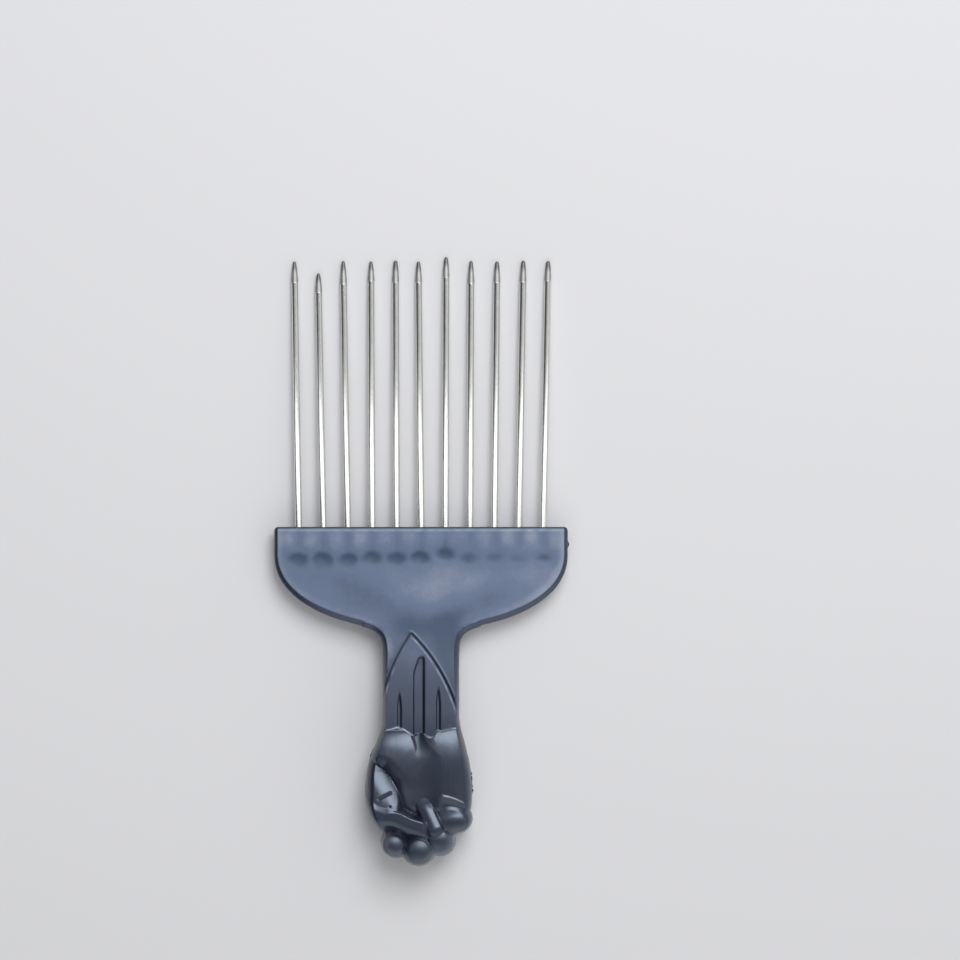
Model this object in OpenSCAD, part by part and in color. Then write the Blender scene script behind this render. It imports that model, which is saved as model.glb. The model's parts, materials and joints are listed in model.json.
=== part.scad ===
// Afro pick: eleven round steel pins set in a moulded handle that ends in a closed fist.
// It lies on its back: +X across the pins, +Y towards the pin tips, +Z up out of the palm side.
// The origin is under the middle of the whole pick, on the surface that it lies on.
// The two halves of the mould meet in the pins' own plane, the mould line, so each side of the
// handle is a height above or below that plane, worked out point by point from the shapes below.
// A place on the handle is given as x and as its drop, the distance below the straight edge.

/* [Head] */
// Width of the head across all the pins
head_w = 85; // [70:1:110]
// Thickness of the head at its straight edge
head_t = 5; // [4:0.5:8]
// Distance from the straight edge down to the lowest point of the shoulders
head_drop = 30; // [26:0.5:34]
// Depth below the straight edge where the sides begin to curve in
side_drop = 8; // [4:0.5:14]
// Radius of the two corners of the straight edge
corner_r = 1.2; // [0.6:0.1:2.4]

/* [Pins] */
// Number of pins
pin_count = 11; // [6:1:13]
// Diameter of a pin
pin_d = 2; // [1.6:0.1:2.6]
// Length of a pin outside the head
pin_reach = 77; // [50:1:90]
// Length of a pin inside the head
pin_seat = 9; // [7:0.5:12]
// Distance from the side of the head to the first pin's axis
pin_margin = 7; // [5:0.5:10]
// Length of the ground point
pin_point = 6.5; // [4:0.5:10]
// Diameter of the rounded end of the point
pin_end_d = 1; // [0.6:0.1:1.4]
// Lean of the outermost pins away from the middle, in degrees
pin_fan = 1.1; // [0:0.1:1.5]

/* [Arm] */
// Width of the arm below the shoulders
arm_w = 22; // [19:0.2:28]
// Distance from the straight edge down to the wrist
wrist_drop = 58; // [52:1:70]
// Height of the arm's front above the mould line, at the wrist
arm_front = 5.8; // [4.5:0.1:7.5]
// Height of the arm's back below the mould line, at the wrist
arm_back = 5.4; // [4.5:0.1:7]
// Width of the middle groove of the arm
channel_w = 2.9; // [2:0.1:4]
// Depth of the three straight grooves of the arm
channel_depth = 0.8; // [0.4:0.1:1.4]
// Width of the two side grooves of the arm
side_channel_w = 1; // [0.6:0.1:1.6]
// Width of the groove that frames the arm in a point
frame_w = 1; // [0.6:0.1:1.6]
// Depth of the groove that frames the arm in a point
frame_depth = 0.5; // [0.3:0.1:1]

/* [Fist] */
// Length of the fist, from the wrist to the far knuckle
fist_len = 40.2; // [36:0.2:48]
// Width of the fist from its middle line to the thumb side
thumb_side = 16.2; // [14:0.2:20]
// Width of the fist from its middle line to the little finger side
finger_side = 14.8; // [13:0.2:19]
// Height of the palm side above the mould line
fist_front = 10.4; // [8.4:0.2:13]
// Depth of the back of the hand below the mould line
fist_back = 8.6; // [7.4:0.2:11]

/* [Hidden] */
pin_pitch = (head_w - 2 * pin_margin) / (pin_count - 1);
middle_pin = (pin_count - 1) / 2;
// Each pin's own small error of lean, as a share of the fan, and of reach, as a share of pin_reach.
lean_error_shares = [0.17, -0.18, -0.26, 0.2, 0.02, -0.5, -0.08, -0.18, -0.09, 0.07, -0.06, 0.1, -0.1];
reach_error_shares = [0, -0.045, 0.002, 0, 0.003, 0, 0.016, 0.002, 0, 0.003, 0.002, 0, 0];
// The ring grooves that lock a pin in the moulding, placed by shares of its seat.
lock_depth = pin_d * 0.12;
lock_w = pin_d * 0.3;
lock_place_shares = [0.84, 0.62];

handle_len = wrist_drop + fist_len;
longest_reach = pin_reach * (1 + max([for (i = [0 : pin_count - 1]) reach_error_shares[i]]));
edge_y = (handle_len - longest_reach) / 2;
mould_z = fist_back;

// The fist's widest place is the hub, which every knuckle is placed from: x, and drop below the
// hub, are shares of tip_len, the length from the hub to the far knuckle.
hub_share = 0.473;
hub_drop = wrist_drop + fist_len * hub_share;
tip_len = fist_len * (1 - hub_share);
fist_w = thumb_side + finger_side;
neck_drop = head_drop * 1.05;
shoulder_end = head_drop * 1.22;

function mix(a, b, t) = a + (b - a) * t;
function ramp(a, b, t) =
    let (u = min(max((t - a) / (b - a), 0), 1))
    u * u * (3 - 2 * u);
// The larger, or the smaller, of two heights with a blend of size k where they cross.
function smooth_max(a, b, k) =
    let (h = max(k - abs(a - b), 0) / k)
    max(a, b) + h * h * k / 4;
function smooth_min(a, b, k) = -smooth_max(-a, -b, k);
function joined(heights, k, i = 0) =
    i == len(heights) - 1 ? heights[i] : smooth_max(heights[i], joined(heights, k, i + 1), k);
function placed(p) = [p[0] * tip_len, hub_drop + p[1] * tip_len];

// Half width of the head: straight sides with small corners above, and rounded shoulders below.
shoulder_power = 2.15;
function head_half(drop) =
    let (
        t = min(max((drop - side_drop) / (head_drop - side_drop), 0), 1),
        c = max(corner_r - drop, 0)
    )
    head_w / 2 * pow(1 - pow(t, shoulder_power), 1 / shoulder_power)
        - corner_r + sqrt(max(corner_r * corner_r - c * c, 0));

// Half width of the arm, which flares out to meet the shoulders.
flare_w = arm_w * 0.14;
flare_len = arm_w * 0.073;
function arm_half(drop) =
    arm_w / 2 + flare_w * exp(min((head_drop - drop) / flare_len, 0.7));

// Half width of the handle on one side, where the fist rises as an oval over a length of rise.
thumb_rise = 1.14 * tip_len;
finger_rise = 1.27 * tip_len;
neck_fillet = arm_w * 0.08;
wrist_fillet = arm_w * 0.12;
function half_width(drop, side, rise) =
    smooth_max(
        smooth_max(head_half(drop), arm_half(drop), neck_fillet),
        side * sqrt(max(1 - pow((hub_drop - drop) / rise, 2), 0)),
        wrist_fillet);
function left_half(drop) = half_width(drop, thumb_side, thumb_rise);
function right_half(drop) = half_width(drop, finger_side, finger_rise);

// Below the hub the outline is the largest of two half ovals and the four knuckles, each knuckle
// a circle given as shares: x, drop below the hub and radius.
knuckle_shares = [
    [-0.33, 0.67, 0.219],
    [-0.03, 0.75, 0.25],
    [0.27, 0.66, 0.208],
    [0.5, 0.35, 0.205]
];
thumb_fall = tip_len * 0.745;
finger_fall = tip_len * 0.72;
thumb_power = 2;
finger_power = 2.4;
function ray_to_circle(angle, c) =
    let (
        along = c[0] * cos(angle) - c[1] * sin(angle),
        across = c[0] * sin(angle) + c[1] * cos(angle),
        inside = c[2] * c[2] - across * across
    )
    inside < 0 ? 0 : along + sqrt(inside);
function ray_to_oval(angle, side, fall, power) =
    pow(pow(abs(cos(angle)) / side, power) + pow(abs(sin(angle)) / fall, power), -1 / power);
function outline_radius(angle) =
    max([
        cos(angle) < 0 ? ray_to_oval(angle, thumb_side, thumb_fall, thumb_power)
            : ray_to_oval(angle, finger_side, finger_fall, finger_power),
        for (c = knuckle_shares) ray_to_circle(angle, tip_len * c)
    ]);

// Width in plan of the rounded edge, by drop.
bevel_table = [
    [0, head_t * 0.28], [side_drop, head_t * 0.28], [head_drop * 0.8, head_t * 0.46],
    [shoulder_end, head_t * 0.36], [wrist_drop * 0.9, arm_w * 0.075],
    [mix(wrist_drop, hub_drop, 0.35), arm_w * 0.16], [hub_drop, fist_w * 0.14],
    [handle_len, fist_w * 0.1]
];
// Height of the upright rim left at the mould line, by drop.
rim_table = [
    [0, head_t * 0.27], [head_drop, head_t * 0.27], [wrist_drop, head_t * 0.3],
    [hub_drop, head_t * 0.16], [handle_len, head_t * 0.12]
];
function edge_round(t) =
    let (u = 1 - min(max(t, 0), 1))
    sqrt(max(1 - u * u, 0));

// Heights of the head and the arm on the two sides, by drop.
neck_front = mix(head_t / 2, arm_front, 0.24);
neck_back = mix(head_t / 2, arm_back, 0.2);
front_table = [
    [0, head_t / 2], [head_drop * 0.55, head_t * 0.53], [neck_drop, neck_front],
    [wrist_drop, arm_front], [handle_len, arm_front]
];
back_table = [
    [0, head_t / 2], [head_drop * 0.85, head_t / 2], [neck_drop, neck_back],
    [wrist_drop, arm_back], [handle_len, arm_back]
];

// Beyond its own top each form below falls away at this slope, so that another takes over.
beside_slope = 1.6;
// Height of a round-topped finger c, given as x, drop and crest height of its two ends and then
// the half widths of their rounded tops, in shares of tip_len and of the height of that side.
function finger(x, drop, c, height) =
    let (
        from = placed([c[0], c[1]]),
        along = placed([c[3], c[4]]) - from,
        there = [x, drop] - from,
        t = min(max((there * along) / (along * along), 0), 1),
        gap = norm(there - t * along),
        top_half = mix(c[6], c[7], t) * tip_len
    )
    mix(c[2], c[5], t) * height - beside_slope
        * (gap < top_half ? gap * gap / (2 * top_half) : gap - top_half / 2);
// Height of a pad c, round along the hand and flat across it, given as middle x and drop, half
// width, half length and height, in the same shares.
function pad(x, drop, c, height) =
    let (
        middle = placed(c),
        u = abs(x - middle[0]) / (c[2] * tip_len),
        v = abs(drop - middle[1]) / (c[3] * tip_len),
        past = max(u, v) - 1
    )
    c[4] * height * (past < 0 ? sqrt(1 - v * v) * pow(1 - u * u * u, 1 / 3) : -beside_slope * past);
// Distance in plan from a line drawn through points.
function line_gap(x, drop, points) =
    min([for (i = [0 : len(points) - 2])
        let (
            along = points[i + 1] - points[i],
            there = [x, drop] - points[i],
            t = min(max((there * along) / (along * along), 0), 1)
        )
        norm(there - t * along)]);

// Palm side: the ball of the thumb, the heel of the little finger and the palm between them.
palm_shares = [
    [-0.31, -0.34, 0.42, 0.79, 0.86],
    [0.34, -0.34, 0.36, 0.82, 0.88],
    [0.04, -0.36, 0.55, 0.82, 0.78]
];
// The index, middle, ring and little fingers, each from its knuckle back towards its tip.
front_finger_shares = [
    [-0.35, 0.66, 0.8, -0.33, 0.42, 0.62, 0.155, 0.12],
    [-0.02, 0.73, 0.86, -0.06, 0.45, 0.64, 0.175, 0.14],
    [0.27, 0.64, 0.88, 0.07, 0.22, 0.68, 0.14, 0.085],
    [0.5, 0.38, 0.85, 0.42, 0.3, 0.78, 0.15, 0.12]
];
// The thumb's root, whose face slopes down to the palm, and its last joint, across two fingers.
thumb_root_share = [-0.6, -0.14, 0.92, -0.48, 0.3, 1, 0.19, 0.19];
thumb_tip_share = [-0.42, 0.34, 0.94, -0.03, 0.48, 0.88, 0.15, 0.12];
thumb_face_share = [-0.49, 0.1, 0.82];
thumb_face_slopes = [-0.2, 0.2];
// The fold between the thumb and the palm, and the hollow in front of the finger tips.
fold_shares = [[-0.72, -0.33], [-0.53, -0.27], [-0.4, -0.11], [-0.33, 0.1], [-0.31, 0.22]];
fold_w = tip_len * 0.14;
fold_depth = fist_front * 0.16;
hollow_share = [-0.03, 0.18];
hollow_r = tip_len * 0.2;
hollow_depth = fist_front * 0.13;
// The crease above the little finger, where the surface steps up and then slopes down.
crease_shares = [[0.3, 0.05], [0.65, 0.17]];
crease_step = fist_front * 0.04;
crease_slope = 0.25;
crease_w = tip_len * 0.016;

fold_line = [for (p = fold_shares) placed(p)];
function palm_height(x, drop) =
    let (
        fold = max(1 - line_gap(x, drop, fold_line) / fold_w, 0),
        hollow = norm([x, drop] - placed(hollow_share)) / hollow_r,
        from = placed(crease_shares[0]),
        line = placed(crease_shares[1]) - from,
        there = [x, drop] - from,
        beyond = (there[1] * line[0] - there[0] * line[1]) / norm(line),
        along = there * line / norm(line),
        here = ramp(0, crease_w, beyond) * ramp(-crease_w, crease_w, along)
            * ramp(0.3 * tip_len, 0.15 * tip_len, beyond)
    )
    joined([for (c = palm_shares) pad(x, drop, c, fist_front)], fist_front * 0.09)
        - fold_depth * fold * fold
        - hollow_depth * exp(-hollow * hollow)
        + here * (crease_step - crease_slope * max(beyond, 0));
function thumb_height(x, drop) =
    let (
        slope = [x, drop] - placed(thumb_face_share),
        face = thumb_face_share[2] * fist_front + slope * thumb_face_slopes,
        root = smooth_min(finger(x, drop, thumb_root_share, fist_front), face, fist_front * 0.1)
    )
    smooth_max(root, finger(x, drop, thumb_tip_share, fist_front), fist_front * 0.1);
function fist_front_height(x, drop) =
    let (fingers = joined([for (c = front_finger_shares) finger(x, drop, c, fist_front)], fist_front * 0.06))
    smooth_max(
        smooth_max(palm_height(x, drop), fingers, fist_front * 0.05),
        thumb_height(x, drop),
        fist_front * 0.04);

// Back of the hand: one long pad with a low ridge to each knuckle.
back_pad_share = [-0.04, -0.1, 0.8, 1.35, 1.02];
back_ridge_shares = [
    [-0.33, 0.62, 0.86, -0.2, -0.5, 0.9, 0.2, 0.14],
    [-0.03, 0.7, 0.92, -0.06, -0.55, 0.94, 0.21, 0.14],
    [0.25, 0.6, 0.9, 0.09, -0.5, 0.92, 0.2, 0.14],
    [0.48, 0.33, 0.82, 0.26, -0.4, 0.86, 0.19, 0.14]
];
function fist_back_height(x, drop) =
    smooth_max(
        pad(x, drop, back_pad_share, fist_back),
        joined([for (c = back_ridge_shares) finger(x, drop, c, fist_back)], fist_back * 0.08),
        fist_back * 0.12);

// The heel of the hand steps up from the arm's front in a short length; the back blends in slowly.
heel_len = fist_len * 0.035;
function front_height(x, drop) =
    let (arm = lookup(drop, front_table))
    drop < wrist_drop ? arm
        : mix(arm, fist_front_height(x, drop), ramp(0, heel_len, drop - wrist_drop));
function back_height(x, drop) =
    let (arm = lookup(drop, back_table))
    drop < wrist_drop ? arm
        : min(mix(arm, fist_back_height(x, drop), ramp(wrist_drop, hub_drop, drop)), fist_back);

// One point of the surface: x, y, and the heights above and below the mould line. Its gap is the
// distance in from the outline.
edge_fall = head_t * 0.08;
edge_fall_len = head_t * 0.16;
function surface_point(x, drop, gap) =
    let (
        rounded = edge_round(gap / lookup(drop, bevel_table)),
        rim = lookup(drop, rim_table),
        fall = edge_fall * (1 - edge_round(drop / edge_fall_len))
    )
    [x, edge_y - drop,
        mix(rim, max(front_height(x, drop), rim), rounded) - fall,
        mix(rim, max(back_height(x, drop), rim), rounded) - fall];

// The grid of points: columns from the middle line out, with the last few in the rounded edge,
// rows from the straight edge down to the hub, and rays fanned out below the hub.
flat_columns = 12;
bevel_columns = 3;
columns = flat_columns + bevel_columns;
rays = 64;
bevel_spread = 1.6;
corner_rows = 3;
side_rows = 3;
shoulder_rows = 14;
neck_rows = 5;
arm_rows = 5;
heel_rows = 2;
palm_rows = 17;
rows = [
    for (k = [0 : corner_rows - 1]) corner_r * (1 - cos(90 * k / corner_rows)),
    for (k = [0 : side_rows - 1]) mix(corner_r, side_drop, k / side_rows),
    for (k = [0 : shoulder_rows - 1]) mix(side_drop, neck_drop, sin(90 * k / shoulder_rows)),
    for (k = [0 : neck_rows - 1]) mix(neck_drop, shoulder_end, k / neck_rows),
    for (k = [0 : arm_rows - 1]) mix(shoulder_end, wrist_drop, k / arm_rows),
    for (k = [0 : heel_rows - 1]) wrist_drop + heel_len * k / heel_rows,
    for (k = [0 : palm_rows]) mix(wrist_drop + heel_len, hub_drop, k / palm_rows)
];

// How far the outline slants at a row, as the length of its edge per unit of drop.
slant_step = head_t * 0.02;
function slant(above, below) = sqrt(1 + pow((above - below) / (2 * slant_step), 2));
// Distance in from the outline of column k, where half the width is w and the rounded edge is e.
function column_inset(k, w, e) =
    k <= flat_columns ? w - (w - e) * k / flat_columns
        : e * pow(1 - (k - flat_columns) / bevel_columns, bevel_spread);
function row_points(drop) =
    let (
        halves = [left_half(drop), right_half(drop)],
        slants = [
            slant(left_half(drop - slant_step), left_half(drop + slant_step)),
            slant(right_half(drop - slant_step), right_half(drop + slant_step))
        ],
        bevel = lookup(drop, bevel_table)
    )
    [for (j = [-columns : columns])
        let (
            s = j < 0 ? 0 : 1,
            w = halves[s],
            inset = column_inset(abs(j), w, min(bevel * slants[s], w / 2))
        )
        surface_point(sign(j) * (w - inset), drop, inset / slants[s])];
function ray_points(n) =
    let (
        angle = 180 + 180 * n / rays,
        r = outline_radius(angle),
        e = lookup(hub_drop - r * sin(angle), bevel_table)
    )
    [for (k = [1 : columns])
        let (inset = column_inset(k, r, e))
        surface_point((r - inset) * cos(angle), hub_drop - (r - inset) * sin(angle), inset)];

row_len = 2 * columns + 1;
last_row = len(rows) - 1;
plan = [
    for (drop = rows) each row_points(drop),
    for (n = [1 : rays - 1]) each ray_points(n)
];
plan_count = len(plan);
hub = last_row * row_len + columns;
function grid_at(i, j) = i * row_len + columns + j;
function ray_at(n, k) =
    k == 0 ? hub
        : n == 0 ? grid_at(last_row, -k)
        : n == rays ? grid_at(last_row, k)
        : (last_row + 1) * row_len + (n - 1) * columns + k - 1;
function quad(a, b, c, d) = [[a, b, c], [a, c, d]];
front_faces = [
    for (i = [0 : last_row - 1], j = [-columns : columns - 1])
        each quad(grid_at(i, j), grid_at(i, j + 1), grid_at(i + 1, j + 1), grid_at(i + 1, j)),
    for (n = [0 : rays - 1], k = [1 : columns - 1])
        each quad(ray_at(n, k + 1), ray_at(n, k), ray_at(n + 1, k), ray_at(n + 1, k + 1)),
    for (n = [0 : rays - 1]) [ray_at(n, 1), hub, ray_at(n + 1, 1)]
];
rim_loop = [
    for (j = [-columns : columns]) grid_at(0, j),
    for (i = [1 : last_row]) grid_at(i, columns),
    for (n = [1 : rays - 1]) ray_at(rays - n, columns),
    for (i = [0 : last_row - 1]) grid_at(last_row - i, -columns)
];
rim_count = len(rim_loop);

module moulded_shape() {
    polyhedron(
        points = [
            for (p = plan) [p[0], p[1], mould_z + p[2]],
            for (p = plan) [p[0], p[1], mould_z - p[3]]
        ],
        faces = [
            each front_faces,
            for (f = front_faces) [f[2] + plan_count, f[1] + plan_count, f[0] + plan_count],
            for (n = [0 : rim_count - 1])
                let (p = rim_loop[n], q = rim_loop[(n + 1) % rim_count])
                each quad(q, p, p + plan_count, q + plan_count)
        ]);
}

// The arm's front is a slope that rises to the wrist. What is drawn on it is placed by x and by
// the distance up from the wrist, and is cut square to the slope.
arm_len = wrist_drop - neck_drop;
arm_rise = arm_front - neck_front;
slope_len = norm([arm_len, arm_rise]);
cut_height = 2 * fist_front;
module cut_in_arm(depth) {
    translate([0, edge_y - wrist_drop, mould_z + arm_front])
        rotate([-atan2(arm_rise, arm_len), 0, 0])
            translate([0, 0, -depth])
                linear_extrude(cut_height)
                    children();
}
// A groove with a round upper end.
module groove(x, top, bottom, w) {
    translate([x, top - w / 2]) circle(d = w, $fn = 32);
    translate([x - w / 2, bottom]) square([w, top - w / 2 - bottom]);
}
channel_x = -arm_w * 0.026;
channel_top = slope_len * 0.75;
channel_bottom = -fist_len * 0.05;
side_channel_x_shares = [-0.282, 0.23];
side_channel_top_shares = [0.4, 0.43];

// The frame: a line that runs from a point at the neck out to each side of the arm, as two curves
// with three control points each, x by arm_w and place by slope_len.
frame_apex_share = [-0.132, 1];
frame_left_shares = [[-0.345, 0.76], [-0.53, 0.34]];
frame_right_shares = [[0.25, 0.63], [0.455, 0.2], [0.455, 0]];
curve_steps = 8;
function on_slope(p) = [p[0] * arm_w, p[1] * slope_len];
function curve(a, b, c) =
    [for (k = [0 : curve_steps]) let (t = k / curve_steps) mix(mix(a, b, t), mix(b, c, t), t)];
frame_left = curve(on_slope(frame_apex_share), on_slope(frame_left_shares[0]), on_slope(frame_left_shares[1]));
frame_right = concat(
    curve(on_slope(frame_apex_share), on_slope(frame_right_shares[0]), on_slope(frame_right_shares[1])),
    [on_slope(frame_right_shares[2])]);
// A band of width w drawn along points.
module band(points, w) {
    last = len(points) - 1;
    sides = [
        for (i = [0 : last])
            let (
                along = points[min(i + 1, last)] - points[max(i - 1, 0)],
                across = [-along[1], along[0]] / norm(along) * w / 2
            )
            [points[i] + across, points[i] - across]
    ];
    polygon([for (s = sides) s[0], for (i = [0 : last]) sides[last - i][1]]);
}
module arm_grooves() {
    cut_in_arm(channel_depth) {
        groove(channel_x, channel_top, channel_bottom, channel_w);
        for (i = [0, 1])
            groove(side_channel_x_shares[i] * arm_w, side_channel_top_shares[i] * slope_len, 0, side_channel_w);
    }
    cut_in_arm(frame_depth) {
        band(frame_left, frame_w);
        band(frame_right, frame_w);
        translate(on_slope(frame_apex_share)) circle(d = frame_w, $fn = 32);
    }
}

// A pin's profile, as radius and distance along the pin from the head's edge.
point_steps = 5;
function pin_profile(reach) =
    let (r = pin_d / 2, end_r = pin_end_d / 2)
    [
        [0, -pin_seat],
        [r - lock_depth, -pin_seat],
        [r, lock_depth - pin_seat],
        for (share = lock_place_shares)
            let (at = -pin_seat * share)
            each [[r, at - lock_w], [r - lock_depth, at - lock_w / 2], [r - lock_depth, at], [r, at + lock_w / 2]],
        [r, reach - pin_point],
        for (k = [0 : point_steps])
            let (angle = 90 * k / point_steps)
            [end_r * cos(angle), reach - end_r + end_r * sin(angle)]
    ];

module pin(i) {
    lean = pin_fan * ((i - middle_pin) / middle_pin + lean_error_shares[i]);
    color("gainsboro")
        translate([(i - middle_pin) * pin_pitch, edge_y, mould_z])
            rotate([-90, 0, -lean])
                rotate_extrude($fn = 48)
                    polygon(pin_profile(pin_reach * (1 + reach_error_shares[i])));
}

module handle() {
    color([0.27, 0.3, 0.37])
        difference() {
            moulded_shape();
            arm_grooves();
            for (i = [0 : pin_count - 1]) pin(i);
        }
}

pin_names = [for (i = [1 : pin_count]) str("pin_", i < 10 ? "0" : "", i)];

handle();
for (i = [0 : pin_count - 1])
    pin(i);
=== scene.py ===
"""Afro pick: the looks of its moulded handle and its steel pins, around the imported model.

The handle is a height above and below its mould line, worked out point by point from the same
shapes as the solid, on a finer grid and with the small marks of a moulding. Lengths are in metres.
A place on the handle is given as x and as its drop, the distance below the straight edge.
"""

import json
import math

import bpy
import numpy as np
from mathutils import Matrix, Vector

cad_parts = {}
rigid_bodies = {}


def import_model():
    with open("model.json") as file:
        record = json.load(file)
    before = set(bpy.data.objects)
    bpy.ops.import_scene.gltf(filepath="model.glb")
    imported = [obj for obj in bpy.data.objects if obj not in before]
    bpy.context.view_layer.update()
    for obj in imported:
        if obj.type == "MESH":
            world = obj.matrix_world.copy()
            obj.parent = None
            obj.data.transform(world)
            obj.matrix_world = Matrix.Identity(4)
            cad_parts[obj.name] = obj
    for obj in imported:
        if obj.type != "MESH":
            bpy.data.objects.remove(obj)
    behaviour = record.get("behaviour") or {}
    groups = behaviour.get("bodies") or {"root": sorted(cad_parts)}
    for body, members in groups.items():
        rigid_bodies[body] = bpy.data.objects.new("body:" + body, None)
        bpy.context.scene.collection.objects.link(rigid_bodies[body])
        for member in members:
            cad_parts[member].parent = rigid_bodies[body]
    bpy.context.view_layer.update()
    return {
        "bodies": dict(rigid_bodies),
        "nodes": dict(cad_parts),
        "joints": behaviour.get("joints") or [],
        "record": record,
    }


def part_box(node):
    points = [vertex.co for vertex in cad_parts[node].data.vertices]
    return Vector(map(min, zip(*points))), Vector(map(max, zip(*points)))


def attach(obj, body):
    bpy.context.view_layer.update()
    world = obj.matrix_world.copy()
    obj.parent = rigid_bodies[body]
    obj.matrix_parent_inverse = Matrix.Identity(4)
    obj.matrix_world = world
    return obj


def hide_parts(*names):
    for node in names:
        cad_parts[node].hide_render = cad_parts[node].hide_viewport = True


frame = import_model()

bl_info = {
    "name": "Afro pick",
    "version": (1, 0, 0),
    "blender": (4, 5, 0),
    "location": "3D View > Sidebar > Pick",
    "description": "Builds the moulded handle, the steel pins and the stage of an afro pick",
    "category": "Object",
}

MM = 0.001
BODY = "root"
PIN_NODES = sorted(name for name in frame["nodes"] if name.startswith("pin_"))
HANDLE_LOW, HANDLE_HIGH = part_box("handle")
EDGE_Y = HANDLE_HIGH.y
HANDLE_LEN = HANDLE_HIGH.y - HANDLE_LOW.y

# The fist's widest place is the hub. Places on the fist are shares of the length from the hub to
# the far knuckle, and heights are shares of the fist's height on that side of the mould line.
HUB_SHARE = 0.473
# How many waves add up to an uneven field.
WAVE_COUNT = 9
# Farther than any distance on the handle, and smaller than any length on it.
FAR = 1.0
TINY = 1e-9
# Columns of a grid on each side of the middle, over the flat part and over the bevel.
FRONT_COLUMNS = (80, 8)
BACK_COLUMNS = (26, 6)
# Rays of the fan of points below the hub.
RAYS = 360
# The ridge of flash on the mould line, as height and as a share of how far it stands out.
FLASH_SECTION = [(0.11 * MM, 0.0), (0.04 * MM, 1.0), (-0.04 * MM, 1.0), (-0.11 * MM, 0.0)]
# Torn flash, and the gate's stub: x, drop, how far each stands out, its width and how ragged it is.
FLASH_TEARS = [
    (-13.2 * MM, 65.9 * MM, 0.35 * MM, 1.3 * MM, 0.6), (14.1 * MM, 72.5 * MM, 0.3 * MM, 1.6 * MM, 0.6),
    (14.7 * MM, 76.0 * MM, 0.28 * MM, 1.0 * MM, 0.6), (42.6 * MM, 5.0 * MM, 0.5 * MM, 0.8 * MM, 0.0),
]
# The ring grooves that lock a pin in the moulding, in shares of its diameter, and their places in
# shares of its seat.
LOCK_DEPTH, LOCK_WIDTH = 0.12, 0.3
LOCK_PLACES = (0.84, 0.62)
# How far in from the rim the material tells places apart, in widths of the bevel.
RIM_REACH = 3.0
# Flat sides round a pin, and rings of points along its wire, its ground point and its rounded end.
PIN_SIDES = 28
WIRE_RINGS, POINT_RINGS, END_RINGS = 24, 14, 8
# The least and the most of a pin's rounded end, in shares of its radius, and of the length of its
# ground point, in shares of the usual one.
END_SHARES = (0.42, 0.58)
POINT_SHARES = (0.88, 1.08)


# Plain maths

def mix(a, b, t):
    """From a where t is 0 to b where it is 1."""
    return a + (b - a) * t


def ramp(a, b, t):
    """From 0 where t is a to 1 where it is b, with soft ends."""
    u = np.clip((t - a) / (b - a), 0, 1)
    return u * u * (3 - 2 * u)


def bell(t):
    """1 where t is 0, falling away on both sides."""
    return np.exp(-t ** 2)


def smooth_max(a, b, k):
    """The larger of two heights, with a blend of size k where they cross."""
    h = np.maximum(k - np.abs(a - b), 0) / k
    return np.maximum(a, b) + h * h * k / 4


def smooth_min(a, b, k):
    """The smaller of two heights, blended in the same way."""
    return -smooth_max(-a, -b, k)


def joined(heights, k):
    """The largest of several heights, blended in the same way."""
    total = heights[-1]
    for height in reversed(heights[:-1]):
        total = smooth_max(height, total, k)
    return total


def lookup(t, table):
    """A value between the rows of a table."""
    return np.interp(t, [row[0] for row in table], [row[1] for row in table])


def eased_lookup(t, table, reach):
    """A value from a table whose corners are rounded over the reach."""
    return np.mean([lookup(t + reach * k, table) for k in (-1, -0.5, 0, 0.5, 1)], axis=0)


def beside_stretch(x, drop, start, end, low=0, high=1):
    """The share along a straight stretch at which it is nearest, and the distance to there."""
    (ax, ad), (bx, bd) = start, end
    vx, vd = bx - ax, bd - ad
    t = np.clip(((x - ax) * vx + (drop - ad) * vd) / (vx * vx + vd * vd), low, high)
    return t, np.hypot(x - ax - t * vx, drop - ad - t * vd)


def line_gap(x, drop, points):
    """Distance in plan from a line drawn through points."""
    best = np.full(np.broadcast(x, drop).shape, FAR)
    for start, end in zip(points[:-1], points[1:]):
        best = np.minimum(best, beside_stretch(x, drop, start, end)[1])
    return best


def side_of_line(x, drop, points):
    """Distance in plan from a line drawn through points, negative on its left hand as it runs."""
    best = np.full(np.broadcast(x, drop).shape, FAR)
    side = np.ones_like(best)
    last = len(points) - 2
    for i, (start, end) in enumerate(zip(points[:-1], points[1:])):
        low, high = -np.inf if i == 0 else 0, np.inf if i == last else 1
        gap = beside_stretch(x, drop, start, end, low, high)[1]
        turn = (drop - start[1]) * (end[0] - start[0]) - (x - start[0]) * (end[1] - start[1])
        nearer = gap < best
        best = np.where(nearer, gap, best)
        side = np.where(nearer, np.sign(turn), side)
    return best * side


def eased(points, rounds=3):
    """A line with its corners cut, and cut again."""
    points = np.array(points)
    for _ in range(rounds):
        near, far = mix(points[:-1], points[1:], 0.25), mix(points[:-1], points[1:], 0.75)
        points = np.concatenate([points[:1], np.stack([near, far], 1).reshape(-1, 2)[1:-1], points[-1:]])
    return [tuple(p) for p in points]


def curve(points, steps=12):
    """Points along a curve with three control points."""
    a, b, c = (np.array(p) for p in points)
    return [tuple(mix(mix(a, b, t), mix(b, c, t), t)) for t in np.linspace(0, 1, steps + 1)]


def waves(x, y, size, seed):
    """A smooth uneven field of about -1 to 1, whose bumps are about size across."""
    draw = np.random.default_rng(seed)
    total = 0
    for _ in range(WAVE_COUNT):
        angle, phase = draw.uniform(0, 2 * math.pi), draw.uniform(0, 2 * math.pi)
        stretch = draw.uniform(0.7, 1.4)
        along = x * math.cos(angle) + y * math.sin(angle)
        total = total + np.sin(along * math.pi * stretch / size + phase)
    return total / math.sqrt(WAVE_COUNT)


# The handle's shape

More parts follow.
